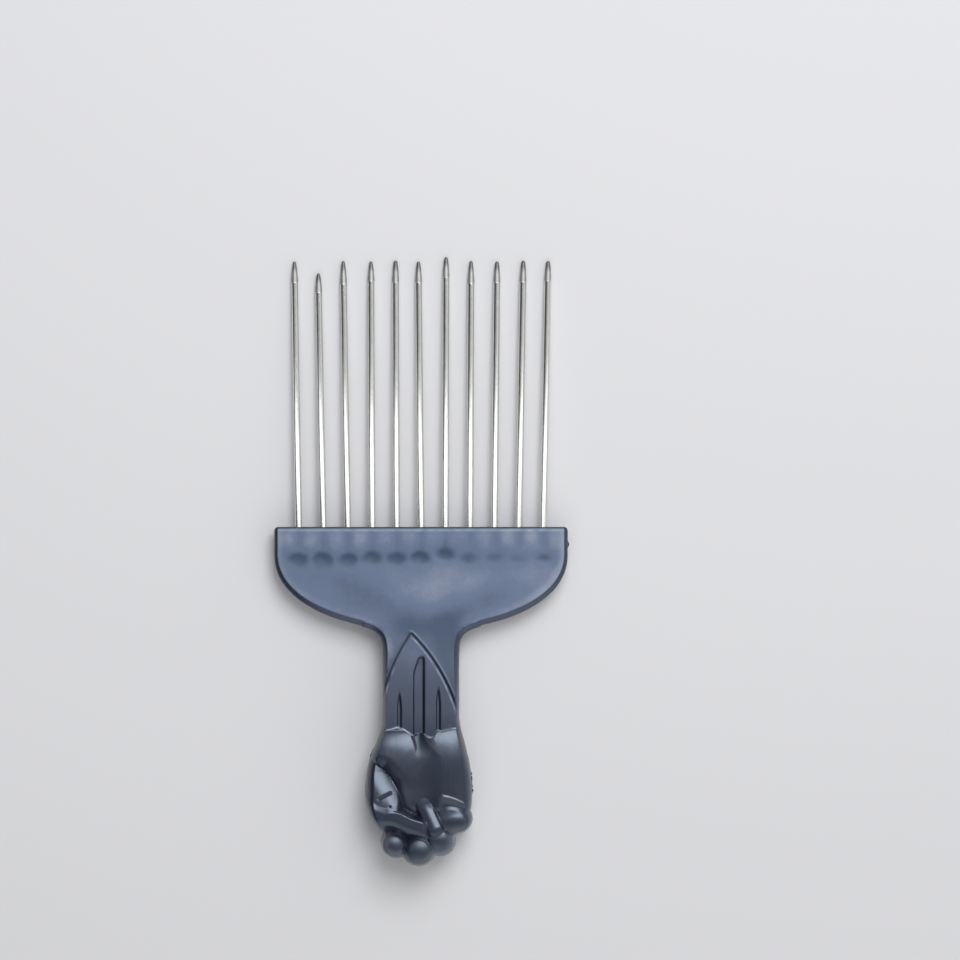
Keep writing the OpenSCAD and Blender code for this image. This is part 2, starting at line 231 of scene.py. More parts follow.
class HandleShape:
    """The handle as heights above and below its mould line."""

    # The outline: how square the shoulders are, the arm's flare below them, and the roundings in
    # plan at the neck and the wrist, all but the first in shares of the arm's width.
    shoulder_power = 2.15
    flare_w, flare_len = 0.14, 0.073
    neck_fillet, wrist_fillet = 0.08, 0.12
    # The fist's half ovals above and below the hub, and how square the lower ones are.
    thumb_rise, finger_rise = 1.14, 1.27
    thumb_fall, finger_fall = 0.745, 0.72
    thumb_power, finger_power = 2.0, 2.4
    # The far knuckles in plan: middle and radius.
    knuckles = [(-0.33, 0.67, 0.219), (-0.03, 0.75, 0.25), (0.27, 0.66, 0.208), (0.5, 0.35, 0.205)]

    # The arm's grooves, in shares of its width and length: the middle one's place and top, and the
    # same of the two side ones.
    channel_x, channel_top = -0.026, 0.77
    side_channels = [(-0.282, 0.4), (0.23, 0.45)]
    # How deep the side ones are beside the middle one, how much wider a groove's wall is on the
    # finger side, and over what length a groove widens at its top: the side ones' in widths.
    side_depth = 0.55
    channel_far_wall, side_far_wall = 1.8, 1.6
    channel_taper, side_taper = 5.5 * MM, 5
    # The three points of each side of the pointed frame, from its point down.
    frame_left = [(-0.13, 1.02), (-0.405, 0.68), (-0.5, 0.3)]
    frame_right = [(-0.13, 1.02), (0.265, 0.703), (0.47, 0.2)]
    # Its groove, in shares of its width from the line: where the outer and the inner wall start and
    # end, and the bead's place, half width and height.
    frame_walls = ((-0.38, 0.0), (0.36, 0.05))
    frame_bead = (-0.52, 0.16, 0.14)
    # How far above the wrist it has run out, and how far above the wrist it begins to.
    frame_end = (3 * MM, 8 * MM)

    # The ragged line where the heel of the hand meets the ends of the arm's strips.
    lip_line = [
        (-0.56, -0.855), (-0.506, -0.863), (-0.424, -0.876), (-0.315, -0.911), (-0.287, -0.898),
        (-0.233, -0.884), (-0.123, -0.802), (-0.089, -0.8), (0.0, -0.83), (0.041, -0.82),
        (0.082, -0.788), (0.137, -0.77), (0.185, -0.795), (0.205, -0.843), (0.233, -0.87),
        (0.287, -0.857), (0.383, -0.88), (0.49, -0.898),
    ]
    # The heel's two pads: place across, start below the wrist, how steeply each climbs there and
    # over what length it rounds off.
    heel_pads = [(-0.35, 0.6 * MM, 0.64, 0.18), (0.22, -0.7 * MM, 0.62, 0.187)]
    # How far a pad falls at its half width, and how it falls away behind its rounding.
    pad_crown, pad_half = 0.05, 0.3
    pad_fall, pad_fall_len = 0.05, 0.15
    # Where the pads meet, and over what width they blend there at the wrist and further down.
    pad_seam, pad_blend = 0.015, (0.045, 0.3)
    # The valley between them: where its steep wall is at its start and below, its width, its length,
    # and its depth in shares of the middle groove's.
    valley_wall = (-2.1 * MM, -0.9 * MM)
    valley_w, valley_len, valley_depth = 0.085, 0.42, 1.15
    # How wide its steep side, its floor and its gentle side are, in shares of that width.
    valley_sides = (0.45, 0.3, 3.0)
    # The fold between the thumb and the palm, and the hollow in front of the finger tips.
    fold = [(-0.715, -0.417), (-0.525, -0.349), (-0.375, -0.173), (-0.28, 0.045), (-0.226, 0.208)]
    hollow = (-0.022, 0.154)
    fold_w, fold_depth = 0.2, 0.15
    hollow_r, hollow_depth = 0.24, 0.08
    # The crease above the little finger, where the palm ends in a fine edge and then falls.
    crease = [(0.31, 0.018), (0.468, 0.058), (0.644, 0.14)]
    crease_edge, crease_fall = 0.012, 0.06
    # How much lower the palm lies under the thumb and under the fingers.
    thumb_room, finger_room = 0.3, 0.3

    # The thumb: its crest, the edge of its bright face and the face's middle line.
    thumb_crest = [
        (-0.822, -0.04), (-0.7, 0.123), (-0.551, 0.225), (-0.347, 0.231), (-0.211, 0.286),
        (-0.116, 0.34), (0.033, 0.381), (0.21, 0.449),
    ]
    thumb_edge = [
        (-0.66, -0.433), (-0.61, -0.344), (-0.512, -0.283), (-0.435, -0.182), (-0.388, -0.079),
        (-0.353, 0.031), (-0.331, 0.111), (-0.326, 0.206), (-0.326, 0.369),
    ]
    thumb_middle = [(-0.66, -0.298), (-0.592, -0.162), (-0.497, 0.002), (-0.436, 0.152), (-0.436, 0.274)]
    # The face's height at a drop, its slopes across and down from there, and how it curves.
    thumb_face_drop, thumb_face_height = 0.1, 0.785
    thumb_face_slopes = (-0.08, 0.25)
    thumb_face_crown, thumb_face_sag = 32 * MM, 280 * MM
    # A crease across the face, and a small pit beside it: half widths, and how deep both are.
    thumb_crease = [(-0.565, 0.063), (-0.497, 0.023), (-0.409, -0.018)]
    thumb_pit = (-0.416, 0.165)
    thumb_crease_w, thumb_pit_r, thumb_mark_depth = 0.028, 0.013, 0.03
    # The crest's height, how much lower it lies towards the tip and towards the root of the thumb,
    # and where it begins to round off to its tip.
    thumb_top, thumb_tip_low, thumb_root_low = 0.89, 0.05, 0.09
    thumb_end, thumb_end_len = 0.01, 0.12
    # How steeply it falls past the crest, on the face's wall to the palm and on the crest's upper side.
    thumb_slopes = (0.2, 1.9, 2.2)

    # The last length of the ring finger: place and height at its two ends, and its radius. It is
    # level out to the first share of that radius, by the second it curves, and by the third its
    # sides fall.
    ring = (0.04, 0.152, 0.65, 0.189, 0.464, 0.82, 0.138)
    finger_level, finger_curve, finger_edge = 0.6, 3.7, 3.0
    # Round knuckle tops: middle, radius, height and how much wider than long. They curve less
    # across than along.
    dome_level, dome_across, dome_along, dome_edge = 0.55, 4.2, 2.6, 2.0
    front_domes = [
        (-0.375, 0.695, 0.2, 0.78, 1), (-0.024, 0.763, 0.23, 0.81, 1),
        (0.244, 0.614, 0.21, 0.78, 1), (0.42, 0.362, 0.25, 0.715, 1.25),
    ]
    # The back of the hand: middle, half width, half length and height.
    back_pad = (-0.04, -0.1, 0.8, 1.35, 1.02)
    # The ridges on it: place and height at their two ends, and the radius at each.
    back_ridges = [
        (-0.33, 0.62, 0.86, -0.2, -0.5, 0.9, 0.2, 0.14),
        (-0.03, 0.7, 0.92, -0.06, -0.55, 0.94, 0.21, 0.14),
        (0.25, 0.6, 0.9, 0.09, -0.5, 0.92, 0.2, 0.14),
        (0.48, 0.33, 0.82, 0.26, -0.4, 0.86, 0.19, 0.14),
    ]
    # How steeply it falls beside the ridges and past its edge.
    beside_slope = 1.6

    # Each pin's sink mark: how deep it is, and how far it lies below the seat's end.
    sink_marks = [
        (1, 0), (1, 0), (0.85, 0), (0.95, 0), (1, 0), (1, 0),
        (0.9, -1.4 * MM), (0.7, 0), (0.55, 0), (0.4, 0), (0.7, 0),
    ]
    # Half widths and half heights of a sink mark and of a swell between two pins' seats.
    sink_half, swell_half = (3.1 * MM, 2.05 * MM), (2.5 * MM, 3.3 * MM)
    # Paler and darker patches of colour on the head, some of them painted sheen, in millimetres: x, drop,
    # half width, half height, tilt and strength.
    patches = [
        (11, 15, 16, 5.5, 0, 0.35), (-1, 19.5, 12, 5, 0, 0.26), (-18, 18, 11, 4.5, 0.31, -0.42),
        (18, 21, 9, 4, -0.3, -0.45), (-2, 29.5, 9, 4, 0, -0.6), (8.5, 33, 5, 8, 0, -0.9),
        (-9.6, 34, 2.4, 5, 0, 0.3), (-2.3, 36, 3.5, 4, 0, 0.25), (35, 15, 9, 7, 0, 0.3),
        (-9, 23.5, 13, 3.6, 0.12, -0.28),
    ]
    # Rows of the grid: corner, side, sink marks, shoulders, arm, lip and fist.
    row_counts = (7, 28, 46, 76, 100, 33, 110)
    # How closely the bevel's columns crowd towards the rim.
    rim_crowding = 1.6
    # How far the bevel of the head and the arm is flat instead of round, and the rounding of the
    # straight edge: its width and its height in shares of the head's thickness.
    bevel_flat = 0.45
    edge_round, edge_fall = 0.16, 0.08

    def __init__(self, settings):
        self.s = s = settings
        self.hub = s.wrist_drop + s.fist_len * HUB_SHARE
        self.tip = s.fist_len * (1 - HUB_SHARE)
        fist_w = s.thumb_side + s.finger_side
        self.neck_drop = s.head_drop * 1.05
        self.arm_len = s.wrist_drop - self.neck_drop
        shoulder_end = s.head_drop * 1.22
        neck_front = mix(s.head_t / 2, s.arm_front, 0.24)
        neck_back = mix(s.head_t / 2, s.arm_back, 0.2)
        # By drop: the bevel's width, the rim's height, and the heights of the front and the back.
        self.bevels = [
            (0, s.head_t * 0.22), (s.side_drop, s.head_t * 0.22), (s.head_drop * 0.8, s.head_t * 0.36),
            (shoulder_end, s.head_t * 0.3), (s.wrist_drop * 0.9, s.arm_w * 0.045),
            (mix(s.wrist_drop, self.hub, 0.35), s.arm_w * 0.075), (self.hub, fist_w * 0.095),
            (self.hub + 0.45 * self.tip, fist_w * 0.035), (HANDLE_LEN, fist_w * 0.03),
        ]
        self.rims = [
            (0, s.head_t * 0.27), (s.head_drop, s.head_t * 0.27), (s.wrist_drop, s.head_t * 0.3),
            (self.hub, s.head_t * 0.16), (HANDLE_LEN, s.head_t * 0.12),
        ]
        self.fronts = [
            (0, s.head_t / 2), (s.head_drop * 0.55, s.head_t * 0.53), (self.neck_drop, neck_front),
            (s.wrist_drop, s.arm_front), (HANDLE_LEN, s.arm_front),
        ]
        self.backs = [
            (0, s.head_t / 2), (s.head_drop * 0.85, s.head_t / 2), (self.neck_drop, neck_back),
            (s.wrist_drop, s.arm_back), (HANDLE_LEN, s.arm_back),
        ]

    def placed(self, p):
        """A place given in shares of the length from the hub, in metres."""
        return p[0] * self.tip, self.hub + p[1] * self.tip

    def line(self, points):
        """A line of such places, in metres."""
        return [self.placed(p) for p in points]

    def on_arm(self, p):
        """A place given in shares of the arm's width and its length up from the wrist."""
        return p[0] * self.s.arm_w, self.s.wrist_drop - p[1] * self.arm_len

    def spot(self, x, drop, place, reach):
        """A soft round spot, 1 at its middle."""
        px, pd = self.placed(place)
        return np.exp(-((x - px) ** 2 + (drop - pd) ** 2) / reach ** 2)

    # The outline in plan

    def head_half(self, drop):
        """Half the head's width, with its small corners and its round shoulders."""
        s = self.s
        t = np.clip((drop - s.side_drop) / (s.head_drop - s.side_drop), 0, 1)
        c = np.maximum(s.corner_r - drop, 0)
        return (s.head_w / 2 * (1 - t ** self.shoulder_power) ** (1 / self.shoulder_power)
                - s.corner_r + np.sqrt(np.maximum(s.corner_r ** 2 - c * c, 0)))

    def arm_half(self, drop):
        """Half the arm's width, with its flare into the shoulders."""
        s = self.s
        flare = np.exp(np.minimum((s.head_drop - drop) / (s.arm_w * self.flare_len), 0.7))
        return s.arm_w / 2 + s.arm_w * self.flare_w * flare

    def half_width(self, drop, side):
        """The outline's width on one side, from the straight edge to the hub."""
        s = self.s
        reach, rise = (s.thumb_side, self.thumb_rise) if side < 0 else (s.finger_side, self.finger_rise)
        fist = reach * np.sqrt(np.maximum(1 - ((self.hub - drop) / (rise * self.tip)) ** 2, 0))
        upper = smooth_max(self.head_half(drop), self.arm_half(drop), s.arm_w * self.neck_fillet)
        return smooth_max(upper, fist, s.arm_w * self.wrist_fillet)

    def outline_radius(self, angle):
        """Distance from the hub to the outline of the lower fist."""
        cos, sin = np.cos(angle), np.sin(angle)
        left = cos < 0
        side = np.where(left, self.s.thumb_side, self.s.finger_side)
        fall = np.where(left, self.thumb_fall, self.finger_fall) * self.tip
        power = np.where(left, self.thumb_power, self.finger_power)
        radius = ((np.abs(cos) / side) ** power + (np.abs(sin) / fall) ** power) ** (-1 / power)
        for knuckle in self.knuckles:
            kx, kd, kr = (share * self.tip for share in knuckle)
            along, across = kx * cos - kd * sin, kx * sin + kd * cos
            inside = kr * kr - across * across
            radius = np.maximum(radius, np.where(inside > 0, along + np.sqrt(np.maximum(inside, 0)), 0))
        return radius

    # The forms of the fist

    def back_ridge(self, x, drop, ridge, height):
        """A ridge that is round on top, with straight slopes beside it."""
        ax, ad, a_share, bx, bd, b_share, a_radius, b_radius = ridge
        t, gap = beside_stretch(x, drop, self.placed((ax, ad)), self.placed((bx, bd)))
        top = mix(a_radius, b_radius, t) * self.tip
        fall = np.where(gap < top, gap * gap / (2 * top), gap - top / 2)
        return mix(a_share, b_share, t) * height - self.beside_slope * fall

    def back_dome(self, x, drop, height):
        """The plain dome of the back of the hand."""
        cx, cd, half_w, half_len, share = self.back_pad
        px, pd = self.placed((cx, cd))
        u = np.abs(x - px) / (half_w * self.tip)
        v = np.abs(drop - pd) / (half_len * self.tip)
        past = np.maximum(u, v) - 1
        dome = np.sqrt(np.maximum(1 - v * v, 0)) * np.maximum(1 - u ** 3, 0) ** (1 / 3)
        return share * height * np.where(past < 0, dome, -self.beside_slope * past)

    def knuckle_top(self, x, drop, dome, height):
        """A broad knuckle top that falls away toward its edge."""
        cx, cd, radius, share, stretch = dome
        px, pd = self.placed((cx, cd))
        radius = radius * self.tip
        across, along = (x - px) / (radius * stretch), (drop - pd) / radius
        past = np.maximum(np.hypot(across, along) - self.dome_level, 0)
        fall = across ** 2 / self.dome_across + along ** 2 / self.dome_along + self.dome_edge * past * past
        return share * height - radius * fall

    def finger_top(self, x, drop, finger, height):
        """A finger with a broad top and steep sides."""
        ax, ad, a_share, bx, bd, b_share, radius = finger
        t, gap = beside_stretch(x, drop, self.placed((ax, ad)), self.placed((bx, bd)))
        radius = radius * self.tip
        gap = gap / radius
        past = np.maximum(gap - self.finger_level, 0)
        fall = gap * gap / self.finger_curve + self.finger_edge * past * past
        return mix(a_share, b_share, t) * height - radius * fall

    def heel(self, x, past):
        """The heel's two pads and the valley between them, past being the drop below the wrist."""
        tip = self.tip
        heights = []
        for place, start, climb, length in self.heel_pads:
            rounding = length * tip
            rise = climb * rounding * (1 - np.exp(-np.maximum(past - start, 0) / rounding))
            beside = np.abs(x / tip - place) / self.pad_half
            crown = self.pad_crown * self.s.fist_front * beside ** 2.5
            beyond = np.maximum(past - start - 2 * rounding, 0)
            fall = self.pad_fall * beyond * beyond / (beyond + self.pad_fall_len * tip)
            heights.append(rise - crown - fall)
        spread = mix(*self.pad_blend, ramp(0.1 * tip, 0.45 * tip, past)) * tip
        share = ramp(-1.0, 1.0, (x - self.pad_seam * tip) / spread)
        return self.s.arm_front + mix(heights[0], heights[1], share) - self.valley(x, past)

    def valley(self, x, past):
        """The valley runs on from the middle groove, steep on the thumb's side and gentle on the other."""
        gap = (x - mix(*self.valley_wall, ramp(1.5 * MM, 6 * MM, past))) / (self.valley_w * self.tip)
        steep_w, floor_w, gentle_w = self.valley_sides
        gentle = np.clip((gap - floor_w) / gentle_w, 0, 1)
        flank = np.where(gap < 0, np.clip(1 + gap / steep_w, 0, 1), (1 - gentle * gentle) ** 2)
        return flank * ramp(self.valley_len * self.tip, 0.0, past) * self.valley_depth * self.s.channel_depth

    def palm(self, x, drop):
        """The palm side of the hand, with room for the thumb and the fingers."""
        tip, front = self.tip, self.s.fist_front
        below = drop - self.hub
        fold = np.maximum(1 - line_gap(x, drop, self.line(self.fold)) / (self.fold_w * tip), 0)
        hollow = self.hollow_depth * self.spot(x, drop, self.hollow, self.hollow_r * tip)
        beyond = side_of_line(x, drop, eased(self.line(self.crease)))
        along = ramp(0.24 * tip, 0.32 * tip, x)
        edge = self.crease_edge * (bell(beyond / (0.012 * tip)) * along)
        fall = self.crease_fall * (ramp(0, 0.12 * tip, beyond) * along)
        fingers = self.finger_room * ramp(0.15 * tip, 0.5 * tip, below)
        thumb_side = side_of_line(x, drop, eased(self.line(self.thumb_edge)))
        thumb = ramp(-0.07 * tip, 0.0, thumb_side) * ramp(-0.5 * tip, -0.32 * tip, below)
        thumb = self.thumb_room * (thumb * ramp(0.55 * tip, 0.3 * tip, below))
        cut = thumb + fingers + self.fold_depth * fold * fold + hollow + fall
        return self.heel(x, drop - self.s.wrist_drop) + front * (edge - cut)

    def thumb(self, x, drop):
        """The thumb: a face that climbs to a crest, and a side that falls away below it."""
        front, tip = self.s.fist_front, self.tip
        middle = self.line(self.thumb_middle)
        beside = x - np.interp(drop, [p[1] for p in middle], [p[0] for p in middle])
        past = drop - self.hub - self.thumb_face_drop * tip
        across, down = self.thumb_face_slopes
        face = self.thumb_face_height * front + across * beside + down * past
        face = face + past * past / self.thumb_face_sag - beside * beside / self.thumb_face_crown
        crease_gap = line_gap(x, drop, self.line(self.thumb_crease))
        marks = np.maximum(1 - crease_gap / (self.thumb_crease_w * tip), 0)
        marks = marks + self.spot(x, drop, self.thumb_pit, self.thumb_pit_r * tip)
        face = face - self.thumb_mark_depth * front * marks

        edge = side_of_line(x, drop, eased(self.line(self.thumb_edge)))
        crest = side_of_line(x, drop, eased(self.line(self.thumb_crest)))
        past_slope, wall_slope, upper_slope = self.thumb_slopes
        lower = self.thumb_tip_low * ramp(-0.45 * tip, 0.0, x)
        lower = lower + self.thumb_root_low * ramp(-0.42 * tip, -0.8 * tip, x)
        top = (self.thumb_top - lower) * front
        soft = mix(0.2, 0.05, ramp(-0.5 * tip, -0.3 * tip, x)) * front
        face = smooth_min(face, top - past_slope * np.maximum(crest, 0), 0.06 * front)
        wall = smooth_min(face, top + wall_slope * edge, 0.06 * front)
        upper = smooth_max(wall, top + upper_slope * crest, soft)
        fall = np.maximum(crest - 0.09 * tip, 0)
        rounded = smooth_min(upper, top - fall * fall / (0.2 * tip), soft)
        past_end = np.maximum(x - self.thumb_end * tip, 0)
        end = top - past_end * past_end / (self.thumb_end_len * tip)
        return smooth_min(rounded, end, 0.1 * front)

    def fist_front(self, x, drop):
        """The palm, the knuckles, the ring finger and the thumb, blended."""
        front = self.s.fist_front
        domes = [self.knuckle_top(x, drop, dome, front) for dome in self.front_domes]
        finger = self.finger_top(x, drop, self.ring, front)
        fingers = smooth_max(finger, joined(domes, front * 0.03), front * 0.05)
        soft = mix(0.07, 0.18, ramp(0.2 * self.tip, 0.35 * self.tip, x)) * front
        return smooth_max(smooth_max(self.palm(x, drop), fingers, soft), self.thumb(x, drop), front * 0.04)

    def fist_back(self, x, drop):
        """The back of the hand with its ridges."""
        back = self.s.fist_back
        ridges = joined([self.back_ridge(x, drop, ridge, back) for ridge in self.back_ridges], back * 0.08)
        return smooth_max(self.back_dome(x, drop, back), ridges, back * 0.12)

    # The grooves and small marks of the arm and the head

    def lip(self, x):
        """The drop of the ragged line above the heel."""
        points = self.line(self.lip_line)
        return np.interp(x, [p[0] for p in points], [p[1] for p in points])

    def channel_gaps(self, x, drop):
        """Distance out from each straight groove of the arm, in shares of its wall, and its depth there."""
        s = self.s
        past = drop - self.lip(x)
        top = s.wrist_drop - self.channel_top * self.arm_len
        right = self.channel_x * s.arm_w + s.channel_w / 2
        left = self.channel_x * s.arm_w - s.channel_w / 2 * ramp(top - MM, top + self.channel_taper, drop)
        half = (right - left) / 2
        above = np.maximum(top + half - drop, 0)
        gap = np.hypot(x - (left + right) / 2, above) - half
        gap = gap / mix(1, self.channel_far_wall, ramp(left, right, x))
        found = [(gap / s.wall_w, s.channel_depth * ramp(s.lip_w / 2, -s.lip_w / 2, past))]
        for place, start in self.side_channels:
            start = s.wrist_drop - start * self.arm_len
            across = x - place * s.arm_w
            taper_end = start + s.side_channel_w * self.side_taper
            half = s.side_channel_w / 2 * ramp(start - 0.5 * MM, taper_end, drop)
            gap = (np.abs(across) - half) / mix(1, self.side_far_wall, ramp(-0.3 * MM, 0.3 * MM, across))
            fade = ramp(start - s.wall_w, start + s.wall_w * 4, drop) * ramp(0.3 * MM, -0.3 * MM, past)
            found.append((gap / s.wall_w, s.channel_depth * self.side_depth * fade))
        return found

    def arm_cuts(self, x, drop):
        """How deep the straight grooves of the arm cut."""
        return np.max([depth * ramp(0.5, -0.5, gap) for gap, depth in self.channel_gaps(x, drop)], axis=0)

    def frame_gap(self, x, drop):
        """Distance from the line that frames the arm, in shares of its width, negative outside it."""
        left = curve([self.on_arm(p) for p in self.frame_left])
        right = curve([self.on_arm(p) for p in self.frame_right])
        feet = [self.on_arm((side[-1][0], 0)) for side in (self.frame_left, self.frame_right)]
        return side_of_line(x, drop, feet[:1] + left[::-1] + right[1:] + feet[1:]) / self.s.frame_w

    def frame_cut(self, x, drop):
        """A groove with a low bead along its outer wall."""
        gap = self.frame_gap(x, drop)
        (outer_a, outer_b), (inner_a, inner_b) = self.frame_walls
        place, half, height = self.frame_bead
        groove = ramp(outer_a, outer_b, gap) * ramp(inner_a, inner_b, gap)
        bead = height * bell((gap - place) / half)
        return self.s.frame_depth * (groove - bead) * self.frame_fade(drop)

    def frame_fade(self, drop):
        """The groove runs out just above the wrist."""
        low, high = self.frame_end
        return ramp(self.s.wrist_drop - low, self.s.wrist_drop - high, drop)

    def shade(self, x, drop):
        """Painted shade, which also dulls the surface: walls of grooves, the straight edge, valley and
        crease.
        """
        grooves = self.channel_gaps(x, drop)
        wide = mix(0.6, 0.95, ramp(-MM, 0, x))
        walls = [0.85 * bell(np.maximum(gap, gap * 0.7) / wide) * np.minimum(depth / (0.5 * MM), 1)
                 for gap, depth in grooves]
        frame = bell((self.frame_gap(x, drop) + 0.12) / 0.2) * self.frame_fade(drop)
        below_top = drop - self.s.wrist_drop + self.channel_top * self.arm_len
        blind_end = ramp(0.3, -0.5, grooves[0][0]) * ramp(4 * MM, 1.5 * MM, below_top)
        edge = ramp(0.75 * MM, 0.35 * MM, drop)
        past = drop - self.lip(x)
        valley = bell((x - 0.4 * MM) / (1.3 * MM)) * ramp(-0.3 * MM, 0.3 * MM, past)
        valley = valley * ramp(8 * MM, 3 * MM, past)
        crease = 0.95 * bell(line_gap(x, drop, self.line(self.thumb_crease)) / (0.024 * self.tip))
        return np.max([frame, blind_end, edge, valley, crease, *walls], axis=0)

    def painted_edge_highlight(self, x, drop):
        """Painted highlights along fine edges: the frame's groove, the lip, the crease and the straight
        edge.
        """
        frame = 0.7 * bell((self.frame_gap(x, drop) - 0.26) / 0.12) * self.frame_fade(drop)
        edge = 0.45 * bell((drop - 0.95 * MM) / (0.25 * MM))
        across = np.abs(x - self.channel_x * self.s.arm_w) / self.s.channel_w
        lip = bell(line_gap(x, drop, self.line(self.lip_line)) / (0.16 * MM)) * ramp(0.42, 0.55, across)
        crease = 0.8 * bell(line_gap(x, drop, self.line(self.crease)) / (0.14 * MM))
        uneven = 0.75 + 0.25 * waves(x, drop, 1.6 * MM, 3)
        return np.max([frame, lip, crease, edge], axis=0) * np.clip(uneven, 0.3, 1)

    def beside_pin(self, x):
        """How far a place lies beside the nearest pin, the pins' pitch, and that pin's number."""
        s = self.s
        last = len(PIN_NODES) - 1
        pitch = (s.head_w - 2 * s.pin_margin) / last
        across = (x + s.head_w / 2 - s.pin_margin) / pitch
        nearest = np.clip(np.round(across), 0, last).astype(int)
        return (across - nearest) * pitch, pitch, nearest

    def sinks(self, x, drop):
        """The shallow marks where the plastic shrank over the ends of the pins."""
        beside, _, nearest = self.beside_pin(x)
        depth, shift = np.array(self.sink_marks)[nearest].T
        middle = self.s.pin_seat * 1.02 + shift + 0.3 * MM * waves(x, drop, 7 * MM, 31)
        uneven = 0.95 + 0.1 * waves(x, drop, 4 * MM, 32)
        half_w, half_h = self.sink_half
        return depth * uneven * bell(beside / half_w) * bell((drop - middle) / half_h)

    def arches(self, x, drop):
        """The low swells between the pins' seats."""
        beside, pitch, _ = self.beside_pin(x)
        uneven = 1 + 0.25 * waves(x, drop * 0.5, 4 * MM, 21)
        middle = self.s.pin_seat * 0.38
        half_w, half_h = self.swell_half
        from_top = 0.46 * pitch - np.abs(beside)
        return uneven * bell(from_top / half_w) * bell((drop - middle) / half_h)

    def head_marks(self, x, drop):
        """The head's swells less its sink marks."""
        return self.s.rib_height * self.arches(x, drop) - self.s.sink_depth * self.sinks(x, drop)

    def painted_light_and_patch_marks(self, x, drop):
        """Painted shade in the sink marks and over the pins' seats, painted light on the swells, and
        patches, from -1 to 1.
        """
        total = 0.3 * self.arches(x, drop) - 1.15 * self.sinks(x, drop)
        over_pin = bell(self.beside_pin(x)[0] / MM)
        total = total - 0.25 * over_pin * ramp(self.s.pin_seat * 0.8, self.s.pin_seat * 0.5, drop)
        for cx, cd, wide, tall, tilt, strength in self.patches:
            across = x / MM - cx
            total = total + strength * bell(across / wide) * bell((drop / MM - cd - tilt * across) / tall)
        return total

    # The heights of the two sides

    def front(self, x, drop):
        """Height of the front over the mould line, without its bevel."""
        arm = eased_lookup(drop, self.fronts, 4 * MM) - self.frame_cut(x, drop) + self.head_marks(x, drop)
        step = ramp(-self.s.lip_w / 2, self.s.lip_w / 2, drop - self.lip(x))
        return mix(arm, self.fist_front(x, drop), step) - self.arm_cuts(x, drop)

    def back(self, x, drop):
        """Depth of the back under the mould line, without its bevel."""
        s = self.s
        fist = np.minimum(self.fist_back(x, drop), s.fist_back)
        return mix(lookup(drop, self.backs), fist, ramp(s.wrist_drop, self.hub, drop))

    def side_height(self, side, x, drop, gap):
        """Height of one side over the mould line, gap being the distance in from the outline."""
        s = self.s
        u = 1 - np.clip(gap / lookup(drop, self.bevels), 0, 1)
        flat_part = self.bevel_flat * ramp(self.hub, s.wrist_drop, drop)
        rounded = mix(np.sqrt(np.maximum(1 - u * u, 0)), 1 - u, flat_part)
        rim = lookup(drop, self.rims)
        v = 1 - np.clip(drop / (s.head_t * self.edge_round), 0, 1)
        fall = s.head_t * self.edge_fall * (1 - np.sqrt(np.maximum(1 - v * v, 0)))
        return mix(rim, np.maximum(side(x, drop), rim), rounded) - fall

    # The grids of points

    def row_drops(self):
        """The drops of the grid's rows, close together where the shape is fine."""
        s = self.s
        corners, sides, marks, shoulders, arms, lips, fists = self.row_counts
        curve_end = s.head_drop * 0.9
        lip_start, lip_end = self.hub - 1.02 * self.tip, self.hub - 0.76 * self.tip
        arm = np.linspace(self.neck_drop, lip_start, arms)[:-1]
        return np.concatenate([
            s.corner_r * (1 - np.cos(np.linspace(0, math.pi / 2, corners)[:-1])),
            np.linspace(s.corner_r, s.side_drop, sides)[:-1],
            np.linspace(s.side_drop, curve_end, marks)[:-1],
            np.linspace(curve_end, self.neck_drop, shoulders)[:-1],
            arm,
            np.linspace(arm[-1], lip_end, lips)[1:-1],
            np.linspace(lip_end, self.hub, fists),
        ])

    def insets(self, width, edge, columns):
        """How far in from the outline each point of a row lies, from the middle out to the rim."""
        flat_columns, bevel_columns = columns
        width, edge = width[:, None], edge[:, None]
        k = np.arange(sum(columns) + 1)
        flat = width - (width - edge) * k / flat_columns
        bevel = edge * np.abs(1 - (k - flat_columns) / bevel_columns) ** self.rim_crowding
        return np.where(k <= flat_columns, flat, bevel)

    def rows(self, columns, drops):
        """The x, drop and gap of the rows of points from the straight edge down to the hub."""
        xs, gaps = [], []
        step = self.s.head_t * 0.02
        bevel = lookup(drops, self.bevels)
        for side in (-1, 1):
            half = self.half_width(drops, side)
            slope = (self.half_width(drops - step, side) - self.half_width(drops + step, side)) / (2 * step)
            slant = np.sqrt(1 + slope ** 2)
            inset = self.insets(half, np.minimum(bevel * slant, half / 2), columns)
            pick = slice(None, 0, -1) if side < 0 else slice(None)
            xs.append((side * (half[:, None] - inset))[:, pick])
            gaps.append((inset / slant[:, None])[:, pick])
        return np.hstack(xs).ravel(), np.repeat(drops, 2 * sum(columns) + 1), np.hstack(gaps).ravel()

    def fan(self, columns):
        """The x, drop and gap of the rays of points from the hub over the lower fist."""
        angle = math.pi + math.pi * np.arange(1, RAYS) / RAYS
        cos, sin = np.cos(angle), np.sin(angle)
        radius = self.outline_radius(angle)
        inset = self.insets(radius, lookup(self.hub - radius * sin, self.bevels), columns)[:, 1:]
        reach = radius[:, None] - inset
        return (reach * cos[:, None]).ravel(), (self.hub - reach * sin[:, None]).ravel(), inset.ravel()

    def grid(self, columns, drops):
        """Places, gaps and faces of a grid that covers the outline: x, drop, gap, faces, rim loop."""
        parts = zip(self.rows(columns, drops), self.fan(columns))
        x, drop, gap = (np.concatenate(part) for part in parts)
        faces, loop = grid_faces(len(drops), sum(columns))

        # Near the outline the gap is measured from the rim itself, without its two small corners.
        near = gap < 1.5 * self.s.head_t
        ring = loop[2 * sum(columns):]
        ring = ring[drop[ring] >= self.s.corner_r * 0.99]
        above = -self.s.head_t
        rim = [(x[ring[0]], above), *zip(x[ring], drop[ring]), (x[ring[-1]], above)]
        gap[near] = line_gap(x[near], drop[near], rim)
        return x, drop, gap, faces, loop


